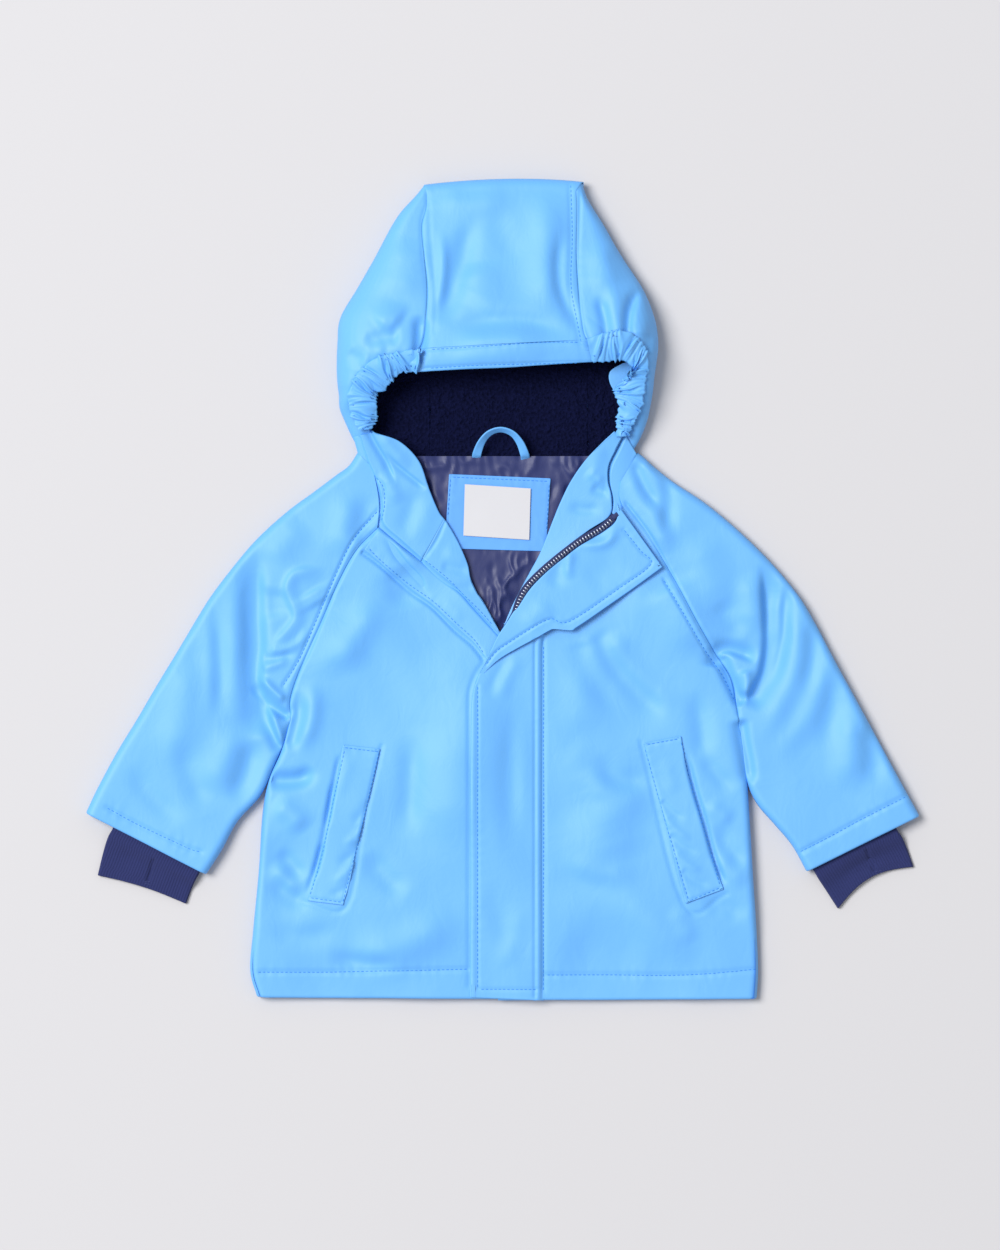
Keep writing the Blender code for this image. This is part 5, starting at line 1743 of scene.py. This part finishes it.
@dataclass
class Neck(Assembly):
    """Collar, facings and what is inside the neck: lining, patch, label and loop.

    calm is where the lining's wrinkles are held flat by the patch: x, y, half width and height.
    """

    bands: tuple[Band, ...] = (
        Band("collar_right", COLLAR_RIGHT), Band("facing_right", FACING_RIGHT),
        Band("facing_left", FACING_LEFT, outer=Edge.HEMMED),
        Band("collar_left", COLLAR_LEFT, inner=Edge.UNDER, sunk=1.1))
    lining_length: float = 150.0
    lining_width: float = 140.0
    lining_top: float = 5.6
    wrinkle: float = 2.4
    wrinkle_size: float = 24.0
    calm: Row = (-3.0, 55.0, 46.0, 38.0)
    patch_rise: float = 1.3
    label_rise: float = 2.6
    loop_tilt: float = 60.0
    loop_half: float = 3.2
    outer_hem: Row = (0.8, 3)
    inner_hem: Row = (0.9, 3)
    band_lip: float = 1.5
    patch_hem: Row = (0.5, 2)
    label_hem: Row = (0.25, 2)
    loop_hem: Row = (0.6, 2.4)

    def build(self) -> None:
        """Build the pieces that frame the opening, then those inside it."""
        self.build_bands()
        self.build_lining()
        self.build_patch_and_label()
        self.build_loop()

    def build_bands(self) -> None:
        """Build the collar and the facings."""
        relief = Relief(COLLAR_FOLDS, COLLAR_SEAMS, 0.25)
        for band in self.bands:
            grid = strip(band.table, FINE)
            if band.outer is Edge.UNDER:
                grid[:, :len(CREASE), 2] -= CREASE
            grid[..., 2] -= band.sunk
            piece = Cloth(band.name, grid).shape(relief)
            for side, edge, hem in ((Side.FIRST_COLUMN, band.outer, self.outer_hem),
                                    (Side.LAST_COLUMN, band.inner, self.inner_hem)):
                if edge is Edge.UNDER:
                    piece.flange(side)
                else:
                    piece.hem(side, *hem)
            self.sew(piece.lip(Side.FIRST_ROW, self.band_lip).lip(Side.LAST_ROW, self.band_lip))

    def lining_height(self, points: Array) -> Array:
        """Softly wrinkled upper face of the back lining, calm under the patch.

        Args:
            points: grid of points.

        Returns:
            Heights in millimetres.
        """
        x, y, wide, tall = self.calm
        calm = np.exp(-((points[..., 0] - x) / wide) ** 4 - ((points[..., 1] - y) / tall) ** 4)
        ridge = 1 - 2 * np.abs(noise_at(points * (1, 0.55, 0), self.wrinkle_size, 5.0))
        return self.lining_top + self.wrinkle * ridge * np.abs(ridge) * (1 - 0.75 * calm)

    def build_lining(self) -> None:
        """Build what shows of the back lining."""
        rows = smooth([(left, y, right, y) for left, right, y in LINING])
        rows = spread(rows, points_for(self.lining_length, GRAIN))
        share = np.linspace(0, 1, points_for(self.lining_width, GRAIN))[None, :, None]
        flat = rows[:, None, :2] * (1 - share) + rows[:, None, 2:] * share
        grid = np.concatenate([flat, np.zeros((*flat.shape[:2], 1))], axis=2)
        grid[..., 2] = self.lining_height(grid)
        self.sew(Cloth("back_lining", grid, Finish.TAFFETA))

    def build_patch_and_label(self) -> None:
        """Build the patch on the lining and the bare label on the patch."""
        grid = quad(PATCH, FINE)
        grid[..., 2] = (self.lining_height(grid) * 0.3 + self.lining_top * 0.7) + self.patch_rise
        patch = Cloth("neck_patch", grid, Finish.PATCH).shape(Relief((), PATCH_SEAMS))
        for side in Side:
            patch.hem(side, *self.patch_hem)
        self.sew(patch)
        grid = quad(LABEL, FINE)
        grid[..., 2] = self.lining_top + self.label_rise
        label = Cloth("label", grid, Finish.LABEL).shape(Relief())
        label.hem(Side.FIRST_ROW, *self.label_hem).hem(Side.LAST_ROW, *self.label_hem)
        self.sew(label)

    def build_loop(self) -> None:
        """Build the hanging loop, tilted most in its middle."""
        path = spread(smooth(LOOP), 60)
        tilt = math.radians(self.loop_tilt) * np.sin(math.pi * np.linspace(0, 1, len(path)))
        loop = Cloth("hanging_loop", tape_grid(path, self.loop_half, tilt))
        loop.hem(Side.FIRST_COLUMN, *self.loop_hem).hem(Side.LAST_COLUMN, *self.loop_hem)
        self.sew(loop)


@dataclass
class Closure(Assembly):
    """Storm flap, placket and zip.

    The closed flap stands flap_rise above the fronts and drops by flap_sink over flap_slope at
    its edge.  The turned part climbs by both turned_rises as it leaves the turn.  The first and
    the last of the teeth, as many as skipped says, are covered and left out.
    """

    flap_rise: float = 1.8
    flap_sink: float = 0.35
    flap_slope: float = 5.0
    turned_rises: Row = (1.3, 2.6)
    flap_hem: Row = (0.7, 3)
    foot_hem: Row = (0.8, 8)
    closed_lip: float = 2.0
    placket_rise: float = 1.5
    placket_hem: Row = (0.5, 3)
    placket_lip: float = 1.5
    tape_half: float = 2.6
    tooth: Row = (1.25, 3.2, 1.2)
    tooth_pitch: float = 2.3
    tooth_shift: float = 0.3
    tooth_lift: float = 0.6
    skipped: tuple[int, int] = (12, 2)
    stop: Row = (5.0, 3.2, 1.2)
    stop_lift: float = 0.8

    def build(self) -> None:
        """Build the flap, the placket and the zip."""
        self.build_flap()
        self.build_placket()
        path = spread(smooth(ZIP_OPEN), 150)
        self.sew(Cloth("zip", tape_grid(path, self.tape_half), Finish.TAPE))
        self.build_teeth(path)

    def build_flap(self) -> None:
        """Build the flap's closed part and the part that is turned out."""
        relief = Relief(FLAP_FOLDS, FLAP_SEAMS, 0.2)
        grid = flat_strip(FLAP_CLOSED, FINE)
        grid[..., 2] = TOP + BODY_RELIEF.at(grid[..., :2])
        side = ease((grid[:, -1:, 0] - grid[..., 0]) / self.flap_slope)
        grid[..., 2] += self.flap_rise * side - self.flap_sink * (1 - side)
        grid[..., 2] -= hem_fall(grid)
        closed = Cloth("storm_flap_closed", grid).shape(relief)
        closed.hem(Side.FIRST_COLUMN, *self.flap_hem).lip(Side.LAST_COLUMN, self.closed_lip)
        self.sew(closed.hem(Side.FIRST_ROW, *self.foot_hem), "storm_flap")
        grid = flat_strip(FLAP_TURNED, FINE)
        along = np.linspace(0, 1, len(grid))[:, None]
        first, second = self.turned_rises
        grid[..., 2] = TOP + self.flap_rise + first * ease(16 * along) + second * ease(2.6 * along)
        turned = Cloth("storm_flap_turned", grid).shape(relief)
        for side in (Side.FIRST_COLUMN, Side.LAST_COLUMN, Side.LAST_ROW):
            turned.hem(side, *self.flap_hem)
        self.sew(turned, "storm_flap")

    def build_placket(self) -> None:
        """Build the strip along the wearer's-right neck edge."""
        grid = flat_strip(PLACKET, FINE)
        across = np.linspace(0, 1, grid.shape[1])
        grid[..., 2] = TOP + BODY_RELIEF.at(grid[..., :2]) + self.placket_rise * across ** 0.5
        grid[:, :len(CREASE), 2] -= CREASE
        placket = Cloth("placket", grid)
        placket.shape(Relief(PLACKET_FOLDS, PLACKET_SEAMS, 0.1))
        placket.lip(Side.FIRST_COLUMN, self.placket_lip)
        placket.hem(Side.LAST_COLUMN, *self.placket_hem).hem(Side.FIRST_ROW, *self.placket_hem)
        self.sew(placket)

    def build_teeth(self, path: Array) -> None:
        """Build the row of metal teeth along the tape, and its top stop.

        Args:
            path: points of the tape's middle.
        """
        line = spread(path, points_for(length_of(path), self.tooth_pitch))
        along = unit(np.gradient(line, axis=0))
        aside = np.column_stack([-along[:, 1], along[:, 0], np.zeros(len(line))])
        teeth = line - aside * self.tooth_shift + UP * self.tooth_lift
        shown = slice(self.skipped[0], -self.skipped[1])
        places = [(*place, UP) for place in zip(teeth[shown], along[shown], aside[shown])]
        piece = repeated("zip_teeth", block_shape(*self.tooth), places, Finish.TEETH)
        self.keep(piece, Finish.TEETH)
        places = [(line[-1] + UP * self.stop_lift, along[-1], aside[-1], UP)]
        self.keep(repeated("zip_stop", block_shape(*self.stop), places, Finish.TAPE), Finish.TAPE)


@dataclass
class Pockets(Assembly):
    """The two welt pockets."""

    welts: tuple[tuple[str, Table], ...] = (("pocket_right", POCKET_RIGHT),
                                            ("pocket_left", POCKET_LEFT))
    rise: float = 1.5
    hem: Row = (0.5, 3)

    def build(self) -> None:
        """Build each welt on its front, hemmed all round."""
        relief = Relief(POCKET_FOLDS, POCKET_SEAMS, 0.2)
        for name, table in self.welts:
            grid = flat_strip(table, FINE)
            grid[..., 2] = TOP + BODY_RELIEF.at(grid[..., :2]) + self.rise
            welt = Cloth(name, grid).shape(relief)
            for side in Side:
                welt.hem(side, *self.hem)
            self.sew(welt)


@dataclass
class Sewing(Assembly):
    """The stitches that show, laid on the pieces of the other assemblies."""

    coat: tuple[Assembly, ...] = ()
    length: float = 2.2
    radius: float = 0.2
    gap: float = 0.9

    def build(self) -> None:
        """Lay each group of stitch lines on the pieces it sews."""
        sewn = {piece.name.removesuffix(SUFFIX): piece
                for part in self.coat for piece, _, _ in part.made}
        for name, (hosts, lines, finish) in STITCH_LINES.items():
            ground = Ground([sewn[host] for host in hosts])
            places = [place for flat in lines for place in self.places(Line(flat), ground)]
            shape = stitch_shape(self.length, self.radius)
            self.keep(repeated(name, shape, places, finish), finish)

    def places(self, line: Line, ground: Ground) -> list[tuple]:
        """Where the stitches of one line lie.

        Args:
            line: the line.
            ground: the cloth under it.

        Returns:
            For each stitch, its middle and its three axes.
        """
        count = max(2, round(line.length / (self.length + self.gap)))
        ends = spread(line.points, 2 * count + 1)
        found = []
        for before, middle, after in zip(ends[:-2:2], ends[1::2], ends[2::2]):
            run = (after - before) / np.linalg.norm(after - before) * self.length / 2
            first, second = ground.top(*(middle - run)), ground.top(*(middle + run))
            if first is None or second is None:
                continue
            along = second[0] - first[0]
            if abs(along[2]) > self.length:
                continue
            along = unit(along)
            aside = unit(np.cross(first[1] + second[1], along))
            up = np.cross(along, aside)
            found.append(((first[0] + second[0]) / 2 + up * self.radius / 2, along, aside, up))
        return found


@dataclass(frozen=True)
class Lamp:
    """A round area lamp that points at the coat: its place, width, power in watts and colour."""

    name: str
    place: Row
    width: float
    power: float
    colour: Row

    def hung(self) -> bpy.types.Object:
        """The lamp as an object, not yet in the scene.

        Returns:
            The object.
        """
        lamp = bpy.data.lights.new(self.name, "AREA")
        lamp.shape = "DISK"
        lamp.size = self.width
        lamp.energy = self.power
        lamp.color = self.colour
        holder = bpy.data.objects.new(self.name, lamp)
        holder.location = self.place
        holder.rotation_euler = (-Vector(self.place)).to_track_quat("-Z", "Y").to_euler()
        return holder


@dataclass
class Studio:
    """The pale surface, the light and the camera, whose lens takes in 0.875 m from 5 m above."""

    staged: list[bpy.types.Object] = field(default_factory=list)
    lamps: tuple[Lamp, ...] = (Lamp("key", (-4.4, 1.9, 7.2), 4.6, 785.0, (1.0, 0.99, 0.978)),)
    floor_half: float = 4.0
    floor_colour: Row = (204, 203, 205)
    sky_colour: Row = (236, 238, 243)
    sky_strength: float = 0.57
    lens: float = 18 * 5 / 0.4375
    eye: Row = (-0.0014, -0.02345, 5.0)
    far: float = 20.0

    def build(self) -> None:
        """Build the floor, the lamp, the camera and the world."""
        self.build_floor()
        for lamp in self.lamps:
            self.add(lamp.hung())
        camera = bpy.data.cameras.new("camera")
        camera.lens = self.lens
        camera.clip_end = self.far
        view = bpy.data.objects.new("camera", camera)
        view.location = self.eye
        self.add(view)
        scene = bpy.context.scene
        scene.camera = view
        scene.world = bpy.data.worlds.new("world")
        scene.world.use_nodes = True
        sky = scene.world.node_tree.nodes["Background"]
        sky.inputs["Color"].default_value = (*linear(self.sky_colour), 1.0)
        sky.inputs["Strength"].default_value = self.sky_strength
        scene.view_settings.view_transform = "Standard"

    def build_floor(self) -> None:
        """Build the matt surface."""
        mesh = bpy.data.meshes.new("floor")
        work = bmesh.new()
        bmesh.ops.create_grid(work, x_segments=1, y_segments=1, size=self.floor_half)
        work.to_mesh(mesh)
        work.free()
        paper = bpy.data.materials.new("floor")
        paper.use_nodes = True
        shader = paper.node_tree.nodes["Principled BSDF"]
        set_inputs(shader, {"Base Color": (*linear(self.floor_colour), 1.0), "Roughness": 0.9,
                            "Specular IOR Level": 0.1})
        mesh.materials.append(paper)
        self.add(bpy.data.objects.new("floor", mesh))

    def add(self, thing: bpy.types.Object) -> None:
        """Put an object in the scene and note it as part of the stage."""
        bpy.context.scene.collection.objects.link(thing)
        self.staged.append(thing)

    def dress(self) -> None:
        """Do nothing: the stage's objects are left as they are."""


def linear(display: Row) -> list[float]:
    """Display values from 0 to 255 as linear ones."""
    return [((c / 255 + 0.055) / 1.055) ** 2.4 for c in display]


def set_inputs(shader: bpy.types.Node, values: dict[str, object]) -> None:
    """Set a node's inputs by their names."""
    for name, value in values.items():
        shader.inputs[name].default_value = value


def add_node(tree: bpy.types.NodeTree, kind: str, **values: object) -> bpy.types.Node:
    """Add a shader node.

    Args:
        tree: the material's node tree.
        kind: the node's type, without the words that all share.
        values: its inputs.

    Returns:
        The node.
    """
    made = tree.nodes.new("ShaderNode" + kind)
    set_inputs(made, values)
    return made


def crumpled(tree: bpy.types.NodeTree, where: bpy.types.Node,
             depth: float) -> bpy.types.NodeSocket:
    """A coarser unevenness, stretched along the coat.

    Args:
        tree: the material's node tree.
        where: its texture coordinates.
        depth: of the unevenness, in millimetres.

    Returns:
        The socket of its normal.
    """
    turned = add_node(tree, "Mapping", Rotation=(0, 0, 0.5), Scale=CRUMPLE_STRETCH)
    coarse = add_node(tree, "TexNoise", Scale=1 / (CRUMPLE_SIZE * MM), Detail=5.0, Roughness=0.55,
                      Distortion=0.6)
    bump = add_node(tree, "Bump", Distance=depth * MM)
    tree.links.new(where.outputs["Object"], turned.inputs["Vector"])
    tree.links.new(turned.outputs["Vector"], coarse.inputs["Vector"])
    tree.links.new(coarse.outputs["Fac"], bump.inputs["Height"])
    return bump.outputs["Normal"]


def make_material(finish: Finish) -> bpy.types.Material:
    """A finish as a node material: mottled colour, fine bump or ribs, and coarse unevenness.

    Args:
        finish: the finish.

    Returns:
        The material.
    """
    look = finish.value
    made = bpy.data.materials.new(finish.name.lower())
    made.use_nodes = True
    tree = made.node_tree
    shader = tree.nodes["Principled BSDF"]
    where = add_node(tree, "TexCoord")
    fine = add_node(tree, "TexNoise", Scale=1 / (look.grain * MM), Detail=3.0)
    blotch = add_node(tree, "TexNoise", Scale=1 / (MOTTLE_SIZE * MM))
    blend = tree.nodes.new("ShaderNodeMix")
    blend.data_type = "RGBA"
    colour = linear(look.colour)
    set_inputs(blend, {"A": (*(c * (1 - look.mottle) for c in colour), 1.0),
                       "B": (*(c * (1 + look.mottle) for c in colour), 1.0)})
    tree.links.new(where.outputs["Object"], fine.inputs["Vector"])
    tree.links.new(where.outputs["Object"], blotch.inputs["Vector"])
    share = fine if look.mottle > FINE_MOTTLE else blotch
    tree.links.new(share.outputs["Fac"], blend.inputs["Factor"])
    tree.links.new(blend.outputs["Result"], shader.inputs["Base Color"])
    set_inputs(shader, {"Roughness": look.roughness, "Metallic": look.metallic,
                        "Sheen Weight": look.sheen, "Specular IOR Level": look.gloss})
    if look.bump or look.ribs:
        depth = max(look.bump, RIB_DEPTH) if look.ribs else look.bump
        bump = add_node(tree, "Bump", Distance=depth * MM)
        source = fine
        if look.ribs:
            source = add_node(tree, "TexWave", Scale=math.pi / 10 / (look.ribs * MM),
                              Distortion=0.6)
            tree.links.new(where.outputs["UV"], source.inputs["Vector"])
        tree.links.new(source.outputs["Fac"], bump.inputs["Height"])
        tree.links.new(bump.outputs["Normal"], shader.inputs["Normal"])
        if look.crumple:
            tree.links.new(crumpled(tree, where, look.crumple), bump.inputs["Normal"])
    elif look.crumple:
        tree.links.new(crumpled(tree, where, look.crumple), shader.inputs["Normal"])
    return made


MATERIALS = {finish: make_material(finish) for finish in Finish}


def main() -> None:
    """Build the coat and its studio, dress them, and log each piece's faces."""
    logging.basicConfig(level=logging.INFO)
    coat = (Body(), Sleeves(), Hood(), Neck(), Closure(), Pockets())
    sewing, studio = Sewing(coat=coat), Studio()
    for part in (*coat, sewing):
        part.build()
        for piece, finish, _ in part.made:
            LOG.info("%s: %s, %s, %d faces", type(part).__name__, piece.name, finish.name.lower(),
                     len(piece.data.polygons))
    studio.build()
    for part in (*coat, sewing, studio):
        part.dress()


if __name__ == "__main__":
    main()
